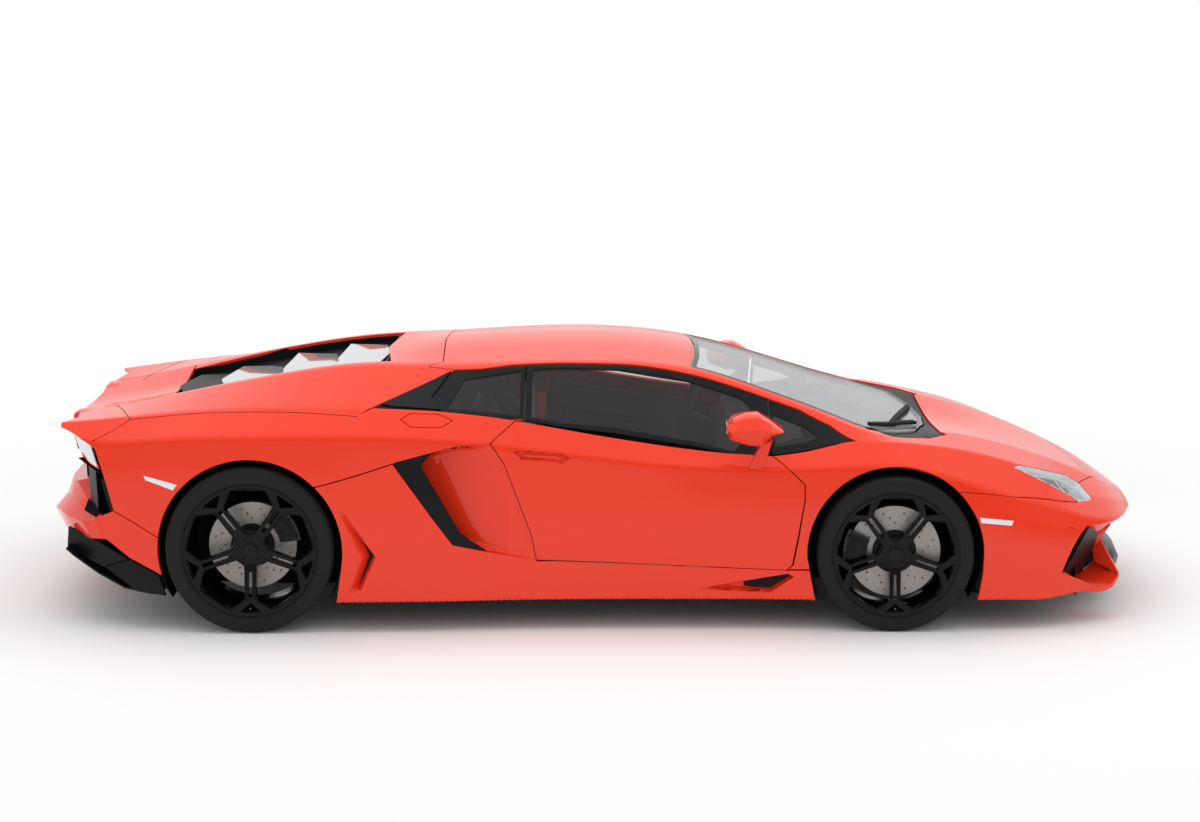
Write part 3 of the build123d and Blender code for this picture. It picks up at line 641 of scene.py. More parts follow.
intake = INTAKE_TOP + INTAKE_FRONT[1:] + INTAKE_LOW[1:-1]
intake_data = bowl(intake, intake_slope, [INTAKE_TOP, INTAKE_LOW[:3]], 20.0, intake_start)
placed("intake_floor", intake_data, paint)
blade = [(-823, 3.32), (-661, 3.17), (-708, 3.33), (-544, 4.15), (-433, 4.37), (-576, 4.29)]
blade_data = panel(blade, gap=0.0, thick=9.0, depth=1.0, spacing=16.0)
placed("intake_blade", blade_data, black, replaced=("grilles",))

front_side = (
    [(2388, v) for v in (0, 0.5, 1, 1.5, 2, 2.5, 3, 3.14)]
    + [(2319, 3.12), (2213, 3.12), (2139, 3.21), (2104, 3.28), (1987, 4.58), (2130, 4.84)]
    + [(2266, 4.62), (2272, 4.70), (2137, 4.97), (2100, 5.2), (2000, 5.5), (1622, 5.5)]
    + side((1622, 133), *reversed(front_arch_nose))
    + BUMPER_TOP[::-1] + LAMP_LOWER[-1:] + LAMP_TIP + LAMP_UPPER[:1] + LID[-1:]
)
sensor = spot(2031, 3.53, 10.5)
body_panel("nose", paint, both_ways(front_side), holes=[sensor, mirror_line(sensor)], gap=1.8,
           replaced=("front_bumper",))
placed("sensor", panel(sensor, gap=1.0, thick=6.0, spacing=6.0), paint)
body_panel("bonnet", paint, LID + mirror_line(LID), body="front_lid", replaced=("front_lid",))

spoiler = top((-1852, 0), (-1852, -424), (-2228, -424), (-2246, -410), (-2246, 0))
body_panel("tail_deck", paint, both_ways(spoiler), replaced=("spoiler",))

# side markers
for name, outline in (
    ("marker_front", [(1622, 3.70), (1627, 3.80), (1758, 3.76), (1767, 3.64)]),
    ("marker_rear", [(-1863, 3.62), (-1720, 3.75), (-1738, 3.83), (-1855, 3.69)]),
):
    placed(name, panel(outline, gap=0, thick=5.0, depth=-2.0, spacing=12.0), white_lens)

# ---------------------------------------------------------------- glass and its black surrounds
# the windscreen, in glass whose pale grey is partly a painted reflection
body_panel("windscreen", clear_glass, both_ways(WINDSCREEN), slot="glass", thick=5.0, depth=2.0,
           replaced=("windscreen",))
BAND = 26.0  # the width of the black band round the windscreen
loop = to_plane(both_ways(WINDSCREEN))
loop = loop[::-1] if area(loop) > 0 else loop
band = plate([loop, offset_loop(loop, -BAND)], on_skin(1.2), 1.2, 3.0, 20.0, rows=SKIN_ROWS)
placed("windscreen_band", band, gloss_black, hands=RIGHT)
scuttle = top((1494, 0), (1472, -250), (1402, -522), (1228, -693)) + CORNER_VENT + LID[1::-1] + top((1511, 0))
body_panel("scuttle", black, both_ways(scuttle), depth=6.0, replaced=("cowl",))

door_opening = [(751, 2.24), (751, 1.10), (636, 1.09), (380, 1.06), (123, 1.01), (-134, 1.00), (-278, 1.01),
                (-278, 1.975), (-130, 2.02), (121, 1.975), (456, 2.015), (666, 2.21)]
door_pane = [(690, 1.62), (672, 1.30), (634, 1.22), (379, 1.15), (122, 1.10), (-134, 1.09), (-250, 1.11),
             (-250, 1.90), (-130, 1.93), (121, 1.89), (456, 1.93), (600, 2.03)]
quarter_opening = WINDOW_TOP[:1] + WINDOW_REAR[:-1]
quarter_opening += [(-281, 1.965), (-281, 1.03), (-346, 1.03), (-476, 1.10)]
quarter_pane = [(-603, 1.88), (-540, 1.29), (-300, 1.13), (-300, 1.90)]
front_opening = [(758, 2.22), (758, 1.12), (889, 1.15), (1012, 1.35), (1110, 1.90), (1030, 2.00), (905, 2.16)]
front_pane = [(775, 1.93), (772, 1.36), (900, 1.50), (958, 1.74), (905, 1.88)]
for name, opening, pane, body, nodes in (
    ("door_window", door_opening, door_pane, "door_SIDE", ("door_glass_SIDE",)),
    ("quarter_window", quarter_opening, quarter_pane, "body", ("quarter_windows",)),
    ("front_window", front_opening, front_pane, "body", ()),
):
    frame_data = panel(opening, holes=[pane], gap=0.6, thick=9.0, depth=3.0, spacing=20.0)
    placed(f"{name}_frame", frame_data, black, body)
    pane_data = panel(pane, gap=-2.0, thick=4.0, depth=6.0)
    placed(name, pane_data, smoked, body, replaced=nodes)
fin = [(-836, 1.93), (-886, 1.885), (-600, 1.13), (-672, 1.69), (-626, 1.94)]
placed("quarter_fin", panel(fin, gap=1.0, thick=10.0, depth=-4.0, spacing=14.0), black)

# ---------------------------------------------------------------- shapes from a few corner points
def rough_form(points, faces, side_sign=1.0):
    """An object from corner points in millimetres, with its faces turned outwards."""
    mesh = bpy.data.meshes.new("rough")
    places = [(x * MM, side_sign * y * MM, z * MM) for x, y, z in points]
    mesh.from_pydata(places, [], [list(face) for face in faces])
    grid = bmesh.new()
    grid.from_mesh(mesh)
    bmesh.ops.remove_doubles(grid, verts=grid.verts, dist=1e-5)
    bmesh.ops.recalc_face_normals(grid, faces=grid.faces)
    grid.to_mesh(mesh)
    grid.free()
    rough = bpy.data.objects.new("rough", mesh)
    bpy.context.collection.objects.link(rough)
    return rough


def worked(rough):
    """The mesh that an object's modifiers make."""
    bpy.context.view_layer.update()
    return bpy.data.meshes.new_from_object(rough.evaluated_get(bpy.context.evaluated_depsgraph_get()))


def faceted(name, points, faces, material, body="body", slot=None, thick=0.0, bevel=3.0, smooth=30.0,
            hands=RIGHT, replaced=()):
    """A piece from corner points in millimetres: a sheet gets a thickness, and its edges are rounded."""
    for hand in hands:
        rough = rough_form(points, faces, -1.0 if hand == "left" else 1.0)
        if thick:
            solid = rough.modifiers.new("thickness", "SOLIDIFY")
            solid.thickness, solid.offset, solid.use_even_offset = thick * MM, 0.0, True
        if bevel:
            edges = rough.modifiers.new("edges", "BEVEL")
            edges.width, edges.segments, edges.limit_method = bevel * MM, 3, "ANGLE"
            edges.angle_limit = radians(smooth)
            edges.harden_normals = True
            rough.data.polygons.foreach_set("use_smooth", [True] * len(rough.data.polygons))
        shape = worked(rough)
        shape.name = tag(name, hand, hands)
        bpy.data.objects.remove(rough)
        shape.materials.clear()
        piece = link(tag(name, hand, hands), shape, material, body.replace("SIDE", hand))
        if not bevel:
            shape.polygons.foreach_set("use_smooth", [True] * len(shape.polygons))
            shape.set_sharp_from_angle(angle=radians(smooth + 6.0))
        stands_for(replaced, hand)


def flat_form(name, corners, material, thick, bevel=0.0, hands=BOTH, **options):
    """A flat or folded piece inside one loop of corners."""
    faceted(name, corners, [range(len(corners))], material, thick=thick, bevel=bevel, hands=hands, **options)


def loft(rows, caps=True, closed=True):
    """Points and faces through rows of equally many points."""
    count = len(rows[0])
    points = [tuple(point) for row in rows for point in row]
    faces = []
    for level in range(len(rows) - 1):
        here, ahead = level * count, (level + 1) * count
        for k in range(count if closed else count - 1):
            j = (k + 1) % count
            faces.append((here + k, here + j, ahead + j, ahead + k))
    if caps:
        last = (len(rows) - 1) * count
        faces.append(tuple(range(count))[::-1])
        faces.append(tuple(last + k for k in range(count)))
    return points, faces


def sheet(rows):
    """Points and faces of an open sheet through rows."""
    return loft(rows, caps=False, closed=False)


def mirrored_rows(rows):
    """Rows from the right side to the centre, carried on to the left side."""
    return rows + [[(x, -y, z) for x, y, z in row] for row in rows[-2::-1]]


def strip(name, path, radius, material):
    """A thin round trim through a few points."""
    bars = [round_bar(a, b, radius, 10, 0.6) for a, b in zip(path, path[1:])]
    placed(name, joined(bars), material)


HEX_SIZE, HEX_ROW = 1.732, 0.866  # a cell's width over its corner radius, and the rows' distance over the width


def honeycomb(name, outline, plane, cell, bar, hands=RIGHT):
    """A black grille of six-sided holes inside an outline; plane turns its (u, w) points into places."""
    loop = np.asarray(outline, dtype=float)
    low, high = loop.min(0), loop.max(0)
    size = (cell - bar) / HEX_SIZE
    turns = [pi / 6 + k * pi / 3 for k in range(6)]
    holes = []
    row = 0
    w = low[1] + cell * 0.6
    while w < high[1]:
        u = low[0] + cell * (0.6 if row % 2 else 1.1)
        while u < high[0]:
            hexagon = np.array([(u + size * cos(a), w + size * sin(a)) for a in turns])
            if inside(hexagon, loop).all() and distance_to(hexagon, loop).min() > bar:
                holes.append(hexagon)
            u += cell
        w += cell * HEX_ROW
        row += 1
    placed(name, plate([loop, *holes], plane, 6.0, 0.0, cell * 2.2, rounding=0.5), black, hands=hands)


def facing(origin, u_axis, w_axis):
    """A flat place for plates: (u, w) millimetres along two directions from an origin."""
    origin, u_axis, w_axis = (np.array(item, dtype=float) for item in (origin, u_axis, w_axis))
    u_axis, w_axis = u_axis / np.linalg.norm(u_axis), w_axis / np.linalg.norm(w_axis)
    normal = np.cross(u_axis, w_axis)

    def place(points):
        return origin + points[:, :1] * u_axis + points[:, 1:] * w_axis, np.tile(normal, (len(points), 1))

    return place


# ---------------------------------------------------------------- wheels
SPOKES = 5
LIP_SHARE, BOLT_SHARE, VALVE_SHARE = 0.80, 0.155, 0.70  # places on the rim over the tyre's radius
DISH_DEPTH = 26.0  # how far the hub stands in behind the lip
HAT_RADIUS, CALIPER_RADIUS = 92, 118.0  # the hole in the disc, and the inner edge of the caliper
DISC_Y, CALIPER_Y = -40, -66  # their outer faces, from the wheel's middle plane
CALIPER_HALF = 27  # half the caliper's angle, in degrees


def revolved(profile, segments, place, dent=None):
    """A ring about the axle from (y, radius) points; y is below zero outside the wheel's middle plane."""
    profile = np.array(profile, dtype=float)
    closed = np.allclose(profile[0], profile[-1])
    if closed:
        profile = profile[:-1]
    count = len(profile)
    angles = np.arange(segments)[:, None] * 2 * pi / segments
    ys, radii = (np.repeat(profile[None, :, column], segments, 0) for column in (0, 1))
    if dent is not None:
        radii = radii - dent(angles, ys, radii)
    points = np.stack((radii * np.cos(angles), ys, radii * np.sin(angles)), 2).reshape(-1, 3)
    faces = []
    for i in range(segments):
        j = (i + 1) % segments
        for k in range(count if closed else count - 1):
            m = (k + 1) % count
            faces.append((i * count + k, i * count + m, j * count + m, j * count + k))
    return points + np.array(place), faces, None


def wheel_dish(lip, hub_depth, half):
    """Places the rim's face: deepest half way out, and level with the lip at its edge."""

    def height(r):
        share = np.clip((r - 60.0) / (lip - 60.0), 0, 1)
        return -half + 8.0 + hub_depth * (1 - share) ** 1.5

    def place(points):
        r = np.maximum(np.hypot(points[:, 0], points[:, 1]), 1e-6)
        slope = height(r + 0.5) - height(r - 0.5)
        normals = np.column_stack((slope * points[:, 0] / r, np.full(len(r), -1.0), slope * points[:, 1] / r))
        return np.column_stack((points[:, 0], height(r), points[:, 1])), unit(normals)

    return place


def turned_by(points, angle):
    """Points turned about the origin by an angle in degrees."""
    a = radians(angle)
    x, y = np.asarray(points, dtype=float).T
    return np.column_stack((x * cos(a) - y * sin(a), x * sin(a) + y * cos(a)))


def joined(parts, place=(0, 0, 0)):
    """The points, faces and normals of several parts as one piece's, moved to place."""
    points, faces, corners, start = [], [], [], 0
    for part_points, part_faces, part_corners in parts:
        points.append(part_points)
        faces.extend([i + start for i in face] for face in part_faces)
        corners.extend(part_corners)
        start += len(part_points)
    return np.concatenate(points) + np.array(place), faces, corners


def round_bar(start, end, radius, count=20, chamfer=1.5):
    """A cylinder between two points with chamfered ends."""
    start, end = np.array(start, dtype=float), np.array(end, dtype=float)
    axis = (end - start) / np.linalg.norm(end - start)
    other = np.cross(axis, (0.3, 0.2, 1.0) if abs(axis[2]) < 0.9 else (1.0, 0.2, 0.1))
    other /= np.linalg.norm(other)
    third = np.cross(axis, other)
    angles = 2 * pi * np.arange(count)[:, None] / count
    spread = np.cos(angles) * other + np.sin(angles) * third
    points, faces = loft([
        start + (radius - chamfer) * spread, start + axis * chamfer + radius * spread,
        end - axis * chamfer + radius * spread, end + (radius - chamfer) * spread,
    ])
    corners = []
    for tilt in (-0.7, 0.0, 0.7):
        shade = unit(spread + tilt * axis)
        ahead = np.roll(shade, -1, 0)
        corners.extend(np.stack((shade, ahead, ahead, shade), 1))
    return np.array(points), faces, corners + [np.tile(-axis, (count, 1)), np.tile(axis, (count, 1))]


def tread(width, radius):
    """How far the tread's outer blocks are cut in, by angle and place over the tyre."""

    def dent(angle, y, r):
        share = np.abs(y) / (width / 2)
        block = (r > radius - 5.0) & (np.abs(y) < width / 2 - 34.0) & (share > 0.42)
        phase = np.mod(angle * 36 / pi + share * 1.3, 1.0)
        return np.where(block & (phase < 0.16), 5.0, 0.0)

    return dent


def tyre_profile(radius, width, lip):
    """The tyre's section: bead, sidewall with its rim guard, shoulder, and a tread with four grooves."""
    half = width / 2
    from_lip = ((20, -14), (9, -10), (4, -3), (3, 3), (5, 8), (3.5, 11), (1.5, 18), (1, 24))
    from_tread = ((2.5, 22), (5, 17), (4.8, 15), (7, 13), (13, 7.5), (21, 3.2), (31, 0.8))
    wall = [(y - half, lip + r) for y, r in from_lip] + [(y - half, radius - r) for y, r in from_tread]
    crown = []
    for groove in (-0.56, -0.2, 0.2, 0.56):
        y = groove * half
        crown.extend(((y - 5, radius), (y - 3.6, radius - 6), (y + 3.6, radius - 6), (y + 5, radius)))
    inner_wall = [(-y, r) for y, r in reversed(wall)]
    return wall + crown + inner_wall + [(half - 20, lip - 14), (-half + 20, lip - 14)]


def sector(outer, inner, angles):
    """The outline of a piece of a ring."""
    rim = [(outer * cos(a), outer * sin(a)) for a in angles]
    return rim + [(inner * cos(a), inner * sin(a)) for a in angles[::-1]]


def across_axle(y):
    """A flat place for plates at y, facing outwards."""
    return facing((0, y, 0), (1, 0, 0), (0, 0, 1))


def wheel(axle, x, y, radius, width, disc_radius, caliper_angle, caliper_body):
    """The corners of one axle: tyre, rim, cap, valve, disc and caliper on both sides."""
    lip = radius * LIP_SHARE
    half = width / 2
    centre = (x, -y, radius)

    def part(name, data, material, body=f"wheel_{axle}_SIDE", node=None):
        nodes = (f"{node}_{axle}_SIDE",) if node else ()
        placed(f"{name}_{axle}", data, material, body, replaced=nodes)

    tyre = revolved(tyre_profile(radius, width, lip - 6), 216, centre, tread(width, radius))
    part("tyre_dressed", tyre, rubber, node="tyre")

    # the forked spokes, cut out of the dished face
    window = ((-0.055, 0.20), (0.055, 0.20), (0.285, 0.505), (0.275, 0.56), (0.20, 0.725), (-0.20, 0.725),
              (-0.275, 0.56), (-0.285, 0.505))
    slot = ((-0.017, 0.27), (0.017, 0.27), (0.022, 0.58), (-0.022, 0.58))
    fork = ((0.0, 0.635), (0.125, 0.745), (-0.125, 0.745))
    window, slot, fork = (radius * np.array(cut) for cut in (window, slot, fork))
    turns = [360.0 / SPOKES * k for k in range(SPOKES)]
    windows = [turned_by(window, turn) for turn in turns]
    holes = []
    for loop, turn in zip(windows, turns):
        holes += [loop, turned_by(slot, turn + 180.0 / SPOKES), turned_by(fork, turn + 180.0 / SPOKES)]
    dish = wheel_dish(lip, DISH_DEPTH, half)

    def dish_y(u, w):
        return dish(np.array([(u, w)]))[0][0, 1]

    def raised(points):
        surface, normals = dish(points)
        return surface + (0, -2.4, 0), normals

    rim_parts = [plate([circle(lip - 9.0, 90), *holes], dish, 34.0, 0.0, 9.0, rounding=3.2)]
    for loop in windows:
        # the raised land along each window's edge
        loop = loop[::-1] if area(loop) > 0 else loop
        land = [offset_loop(loop, 7.5), offset_loop(loop, 2.8)]
        rim_parts.append(plate(land, raised, 4.0, 0.0, 8.0, rounding=1.2))
    for turn in turns:
        a, r = radians(turn + 90.0), radius * BOLT_SHARE
        u, w = r * cos(a), r * sin(a)
        rim_parts.append(round_bar((u, dish_y(u, w) + 6, w), (u, dish_y(u, w) - 5, w), 10.5, 6))
    part("rim_dressed", joined(rim_parts, centre), gloss_black, node="rim")
    # from the outer lip along the axle side to the inner lip, and back under the tyre
    barrel = [(y - half, lip - r) for y, r in ((1, 0), (-0.5, 3), (1, 6), (10, 9), (30, 14), (60, 24))]
    barrel += [(half - y, lip - r) for y, r in ((30, 24), (6, 14), (2, 6), (8, 0), (10, 8), (30, 18))]
    barrel += [(y - half, lip - r) for y, r in ((60, 18), (12, 2), (1, 0))]
    part("barrel", revolved(barrel, 120, centre), gloss_black)
    cap = ((2, 31), (-4, 31), (-6.5, 29), (-7, 24), (-7.6, 12), (-7.8, 0.1))
    cap = [(dish_y(0, 1) + y, r) for y, r in cap]
    part("hub_cap", revolved(cap, 60, centre), satin_black)
    w = -VALVE_SHARE * radius
    valve = round_bar((0, dish_y(0, w) + 10, w), (0, dish_y(0, w) - 12, w + 4), 3.4, 12)
    part("valve", joined([valve], centre), metal)

    # the drilled disc with its hat
    drilling = []
    for k in range(12):
        for ring_number, share in enumerate((0.62, 0.74, 0.86)):
            a = 2 * pi * (k + ring_number * 0.28) / 12
            drilling.append(circle(3.4, 8, disc_radius * share * cos(a), disc_radius * share * sin(a)))
    outlines = [circle(disc_radius, 96), circle(HAT_RADIUS, 60), *drilling]
    face = plate(outlines, across_axle(DISC_Y), 32.0, 0.0, 14.0, rounding=1.0)
    part("disc_dressed", joined([face], centre), disc_metal, node="disc")
    hat = ((-40, 93), (-48, 91), (-50, 86), (-50, 30), (-20, 30), (-20, 93), (-40, 93))
    part("disc_hat", revolved(hat, 60, centre), structure)

    # the caliper holds over the disc's edge: body, raised land, bridge and bolts
    over = disc_radius + 15.0
    start, end = radians(caliper_angle - CALIPER_HALF), radians(caliper_angle + CALIPER_HALF)
    angles = np.linspace(start, end, 14)
    caliper = [
        plate([sector(over, CALIPER_RADIUS, angles)], across_axle(CALIPER_Y), 20.5, 0.0, 12.0, rounding=4.0),
        plate([sector(over - 22, 135.0, angles[2:-2])], across_axle(-69.5), 6.0, 0.0, 12.0, rounding=2.0),
        plate([sector(over, disc_radius + 5, angles)], across_axle(-46), 70.0, 0.0, 12.0, rounding=2.0),
    ]
    for a in (start + 0.1, (start + end) / 2, end - 0.1):
        u, w = (over - 8) * cos(a), (over - 8) * sin(a)
        caliper.append(round_bar((u, -72, w), (u, -50, w), 6.0, 6))
    part("caliper", joined(caliper, centre), gloss_black, caliper_body)


wheel("front", FRONT_HUB, 860.0, 330.5, 255.0, 195.0, 180.0, "knuckle_SIDE")
wheel("rear", REAR_HUB, 845.0, 354.5, 335.0, 185.0, 35.0, "body")

# ---------------------------------------------------------------- engine cover
COVER = top((-915, 0), (-872, -432), (-1425, -417), (-1850, -362))
# (x, z) of each pane's rear corner, its two side corners and its front corner
PANES = (
    ((-1860, 888), (-1800, 896), (-1672, 900), (-1640, 902)),
    ((-1672, 917), (-1611, 930), (-1434, 932), (-1370, 936)),
    ((-1391, 966), (-1356, 992), (-1180, 988), (-1120, 986)),
    ((-1143, 1013), (-1114, 1034), (-943, 1030), (-905, 1040)),
)
HOLE_HALF = 268  # half the width of the openings under the panes
cover_holes = [
    top((rear[0] + 26, 0), (a[0] + 8, -HOLE_HALF), (b[0] - 8, -HOLE_HALF),
        (front[0] - 26, 0), (b[0] - 8, HOLE_HALF), (a[0] + 8, HOLE_HALF))
    for rear, a, b, front in PANES
]
body_panel("engine_frame", black, both_ways(COVER + [(-1850, 0)]), holes=cover_holes, body="engine_cover",
           thick=9.0, depth=44.0, replaced=("engine_cover",))
for number, (rear, a, b, front) in enumerate(PANES):
    half = 300 if number else 262
    outline = ((rear[0], 0, rear[1]), (a[0], -half, a[1]), (b[0], -half, b[1]), (front[0], 0, front[1]),
               (b[0], half, b[1]), (a[0], half, a[1]))
    rows = [
        [(x + (from_rear if k in (0, 1, 5) else from_front), y * share, z - drop)
         for k, (x, y, z) in enumerate(outline)]
        for from_rear, from_front, share, drop in ((0, 0, 1, 0), (5, -5, 0.985, 8), (16, -8, 0.97, 46))
    ]
    material, nodes = slat_glass if number else black, ("engine_slats",) if number == 1 else ()
    faceted(f"slat_{number + 1}", *loft(rows), material, "engine_cover", "glass", bevel=2.0, smooth=12.0,
            replaced=nodes)


def skin_at(places, depth=0.0):
    """Points on the skin, or depth below it, at (x, v) places."""
    x, v = np.array(places, dtype=float).T
    return skin(x, v) - skin_normals(x, v) * depth


edge = skin_at(top((-872, -436), (-1150, -430), (-1425, -421), (-1640, -395), (-1850, -366)))
wall = sheet([edge + (0, 0, drop) for drop in (-3, -70)])
faceted("engine_wall", *wall, black, thick=5.0, bevel=0.0, hands=BOTH)
for name, x, half in (("front", -890, 436), ("rear", -1853, 420)):
    z = float(skin_at([(x, 0.4)])[0][2])
    wall = ((x, -half, z - 4), (x, half, z - 4), (x, half, z - 90), (x, -half, z - 90))
    flat_form(f"engine_wall_{name}", wall, black, 6.0, hands=RIGHT)

# ---------------------------------------------------------------- nose
STRUT = ((2236, -622, 392), (2177, -632, 350), (2162, -612, 291), (2194, -606, 326), (2269, -694, 186),
         (2176, -600, 215), (2176, -600, 229))
faceted("nose_strut", STRUT, [(0, 3, 2, 1), (3, 4, 5, 6, 2)], paint, thick=20.0, bevel=4.0, hands=BOTH)
vane = ((2108, -806, 420), (2180, -650, 356), (2174, -640, 334), (2119, -646, 187), (2078, -650, 167),
        (1993, -892, 238))
flat_form("nose_vane", vane, black, 9.0, 3.0)
lip_line = ((1990, 4.57), (2030, 4.68), (2070, 4.76), (2110, 4.84), (2140, 4.85), (2180, 4.78), (2220, 4.71),
            (2262, 4.64))
chin = [*(skin_at(lip_line) + (0, 5, -3)), (2262, -672, 186), (2176, -598, 212), (2078, -646, 164)]
flat_form("nose_floor", chin, paint, 8.0)
strip("nose_line", [(2080, -652, 173), (2119, -650, 190), (2172, -606, 219)], 2.4, metal)
mesh_plane = facing((2080, -596, 160), (1, 0.06, 0), (0, 0, 1))
honeycomb("nose_mesh", [(-40, 0), (90, 0), (100, 175), (-20, 175)], mesh_plane, 17.0, 3.4, hands=BOTH)
# height, foremost x and half width at each level of the middle part
LEVELS = ((129, 2330, 545), (150, 2346, 560), (185, 2352, 565), (217, 2336, 560), (251, 2262, 545))
rows = []
for z, front, half in LEVELS:
    right = [(2040, -half), (front - 190, -half), (front - 80, -half + 95)]
    right += [(front - 22, -half + 210), (front, -150)]
    rows.append([(x, y, z) for x, y in right + [(x, -y) for x, y in right[::-1]]])
faceted("nose_centre", *loft(rows), satin_black, bevel=4.0)
outer = [(2388, 0, 322), *skin_at(((2386, 3.10), (2319, 3.10), (2213, 3.10), (2139, 3.19), (2106, 3.27)))]
inner = [(2330, 0, 312), (2326, -150, 322), (2290, -330, 340), (2232, -560, 362), (2172, -660, 356),
         (2096, -800, 412)]
back = [(2090, y, 352) for _, y, _ in inner[:-1]] + [(2090, -800, 380)]
faceted("beak_underside", *sheet([outer, inner, back]), paint, thick=7.0, bevel=2.0, hands=BOTH)
# the small blunt face at the tip: a fan of its edge and lowest point about a middle point
EDGE_POINTS = 25
face = skin([2386.5] * EDGE_POINTS, np.linspace(-3.12, 3.12, EDGE_POINTS))
face[:, 1:] += ((0, 392) - face[:, 1:]) * 0.01
middle = EDGE_POINTS + 1
fan = [(k, (k + 1) % middle, middle) for k in range(middle)]
faceted("beak_face", [*face, (2388, 0, 320), (2389, 0, 396)], fan, paint, thick=3.0, bevel=0.0)
mesh_plane = facing((2205, -560, 240), (0, 1, 0), (0.1, 0, 1))
honeycomb("nose_centre_mesh", [(0, 0), (1120, 0), (1120, 118), (0, 118)], mesh_plane, 34.0, 6.0)
nose_back = ((2060, -820, 120), (2060, 820, 120), (2060, 760, 420), (2060, -760, 420))
flat_form("nose_back", nose_back, structure, 4.0, slot="structure", hands=RIGHT)

# ---------------------------------------------------------------- headlamps
LAMP = LAMP_UPPER + LAMP_LOWER + LAMP_TIP
placed("lamp_bowl", bowl(LAMP, 74.0, wall=34.0, spacing=7.0, gap=-4.0), lamp_silver)
placed("lamp_cover", panel(LAMP, gap=1.0, thick=3.0, depth=1.0, spacing=16.0), lamp_glass,
       replaced=("headlamps",))
aim = np.array((0.92, 0.0, 0.18))
for number, (x, v, radius) in enumerate(((2062, 1.98, 27.0), (1975, 2.02, 21.0))):
    seat_at = skin_at([(x, v)], 46.0)[0]
    tube = round_bar(seat_at - aim * 20, seat_at + aim * 14, radius + 5, 28, 3.0)
    placed(f"lamp_projector_{number}", tube, gloss_black)
    dome = bmesh.new()
    bmesh.ops.create_uvsphere(dome, u_segments=28, v_segments=14, radius=radius)
    points = [np.array(v.co) + seat_at + aim * 8 for v in dome.verts]
    faces = [[v.index for v in f.verts] for f in dome.faces]
    dome.free()
    placed(f"lamp_lens_{number}", (points, faces, None), lamp_glass)
lamp_line = skin_at([(1850, 2.13), (1930, 1.93), (2050, 1.66), (2110, 1.80), (2138, 2.08)], 20.0)
strip("lamp_line", lamp_line, 4.5, white_lens)
strip("lamp_branch", skin_at([(2010, 1.76), (2026, 2.02), (2070, 2.30)], 24.0), 4.0, white_lens)

# ---------------------------------------------------------------- tail
bumper_side = (
    [(-2000, 4.14), (-2057, 4.22), (-2084, 4.30), (-2037, 4.49), (-1935, 4.65), (-1826, 4.75), (-1800, 4.78)]
    + side(*arc(*REAR_ARCH, 195, 172, 6))
)
placed("bumper_corner", panel(bumper_side, gap=1.6), paint)
# y, and (x, z) down the shell
BUMPER = (
    (-914, (-2054, 492), (-2058, 490), (-2062, 486), (-2086, 468), (-2050, 388), (-2020, 384)),
    (-872, (-2080, 484), (-2090, 482), (-2100, 474), (-2142, 452), (-2108, 380), (-2040, 372)),
    (-760, (-2100, 540), (-2140, 530), (-2170, 490), (-2222, 450), (-2180, 362), (-2080, 350)),
    (-600, (-2140, 590), (-2212, 572), (-2236, 505), (-2290, 446), (-2244, 345), (-2120, 330)),
    (-420, (-2160, 585), (-2268, 556), (-2292, 482), (-2348, 420), (-2296, 312), (-2150, 300)),
    (-260, (-2160, 580), (-2292, 540), (-2312, 468), (-2368, 406), (-2312, 302), (-2150, 292)),
    (0, (-2160, 580), (-2300, 540), (-2320, 468), (-2376, 406), (-2316, 302), (-2150, 292)),
)
rows = mirrored_rows([[(x, y, z) for x, z in outline] for y, *outline in BUMPER])
faceted("rear_bumper_shell", *loft(rows), paint, bevel=5.0, smooth=14.0, replaced=("rear_bumper",))
fascia = [(-2072, -878), (-2120, -780), (-2165, -560), (-2178, 0)]
fascia += [(x, -y) for x, y in fascia[-2::-1]]
rows = [[(x, y * 0.985, 500) for x, y in fascia], [(x - 8, y, 800) for x, y in fascia]]
faceted("tail_fascia", *sheet(rows), black, thick=6.0, bevel=1.0, replaced=("rear_panel",))
vent_back = ((-2118, -780, 690), (-1990, -880, 700), (-1960, -880, 470), (-2100, -780, 480))
flat_form("tail_vent_back", vent_back, rough_black, 6.0)
mesh_outline = [(0, 0), (1040, 0), (1040, 100), (960, 150), (80, 150), (0, 100)]
honeycomb("tail_mesh", mesh_outline, facing((-2186, 520, 575), (0, -1, 0), (-0.04, 0, 1)), 44.0, 7.0)
LENS = (((-2096, -882, 780), (-2066, -894, 690)), ((-2124, -864, 796), (-2098, -874, 706)),
        ((-2174, -800, 812), (-2148, -796, 728)), ((-2196, -640, 800), (-2178, -640, 742)),
        ((-2206, -420, 790), (-2190, -420, 735)))
faceted("tail_lens", *sheet(LENS[:3]), white_lens, slot="red_lamp", thick=8.0, bevel=2.0, hands=BOTH)
faceted("tail_lamp", *sheet(LENS[2:]), gloss_black, slot="red_lamp", thick=8.0, bevel=2.0, hands=BOTH,
        replaced=("tail_lamps",))
for number, y in enumerate((-725, -605, -485)):
    x = -2174 - 36 * (y + 800) / 380.0
    arms = (((x + 3, y, 766), (x + 7, y - 46, 794)), ((x + 3, y, 766), (x - 2, y + 46, 794)),
            ((x + 3, y, 768), (x + 8, y, 738)))
    arms = joined([round_bar(a, b, 9.0, 14, 1.4) for a, b in arms])
    placed(f"tail_y_{number}", arms, red_lens)
line = (((-2146, -812, 738), (-2136, -808, 716)), ((-2100, -870, 716), (-2092, -870, 696)),
        ((-2064, -890, 698), (-2060, -888, 680)))
faceted("tail_line", *sheet(line), paint, thick=10.0, bevel=2.0, hands=BOTH)
blade_rows = (((-2168, -800, 712), (-2148, -790, 702), (-2130, -780, 716)),
              ((-2110, -868, 690), (-2096, -866, 680), (-2080, -850, 700)),
              ((-2058, -893, 664), (-2050, -893, 655), (-2040, -880, 676)))
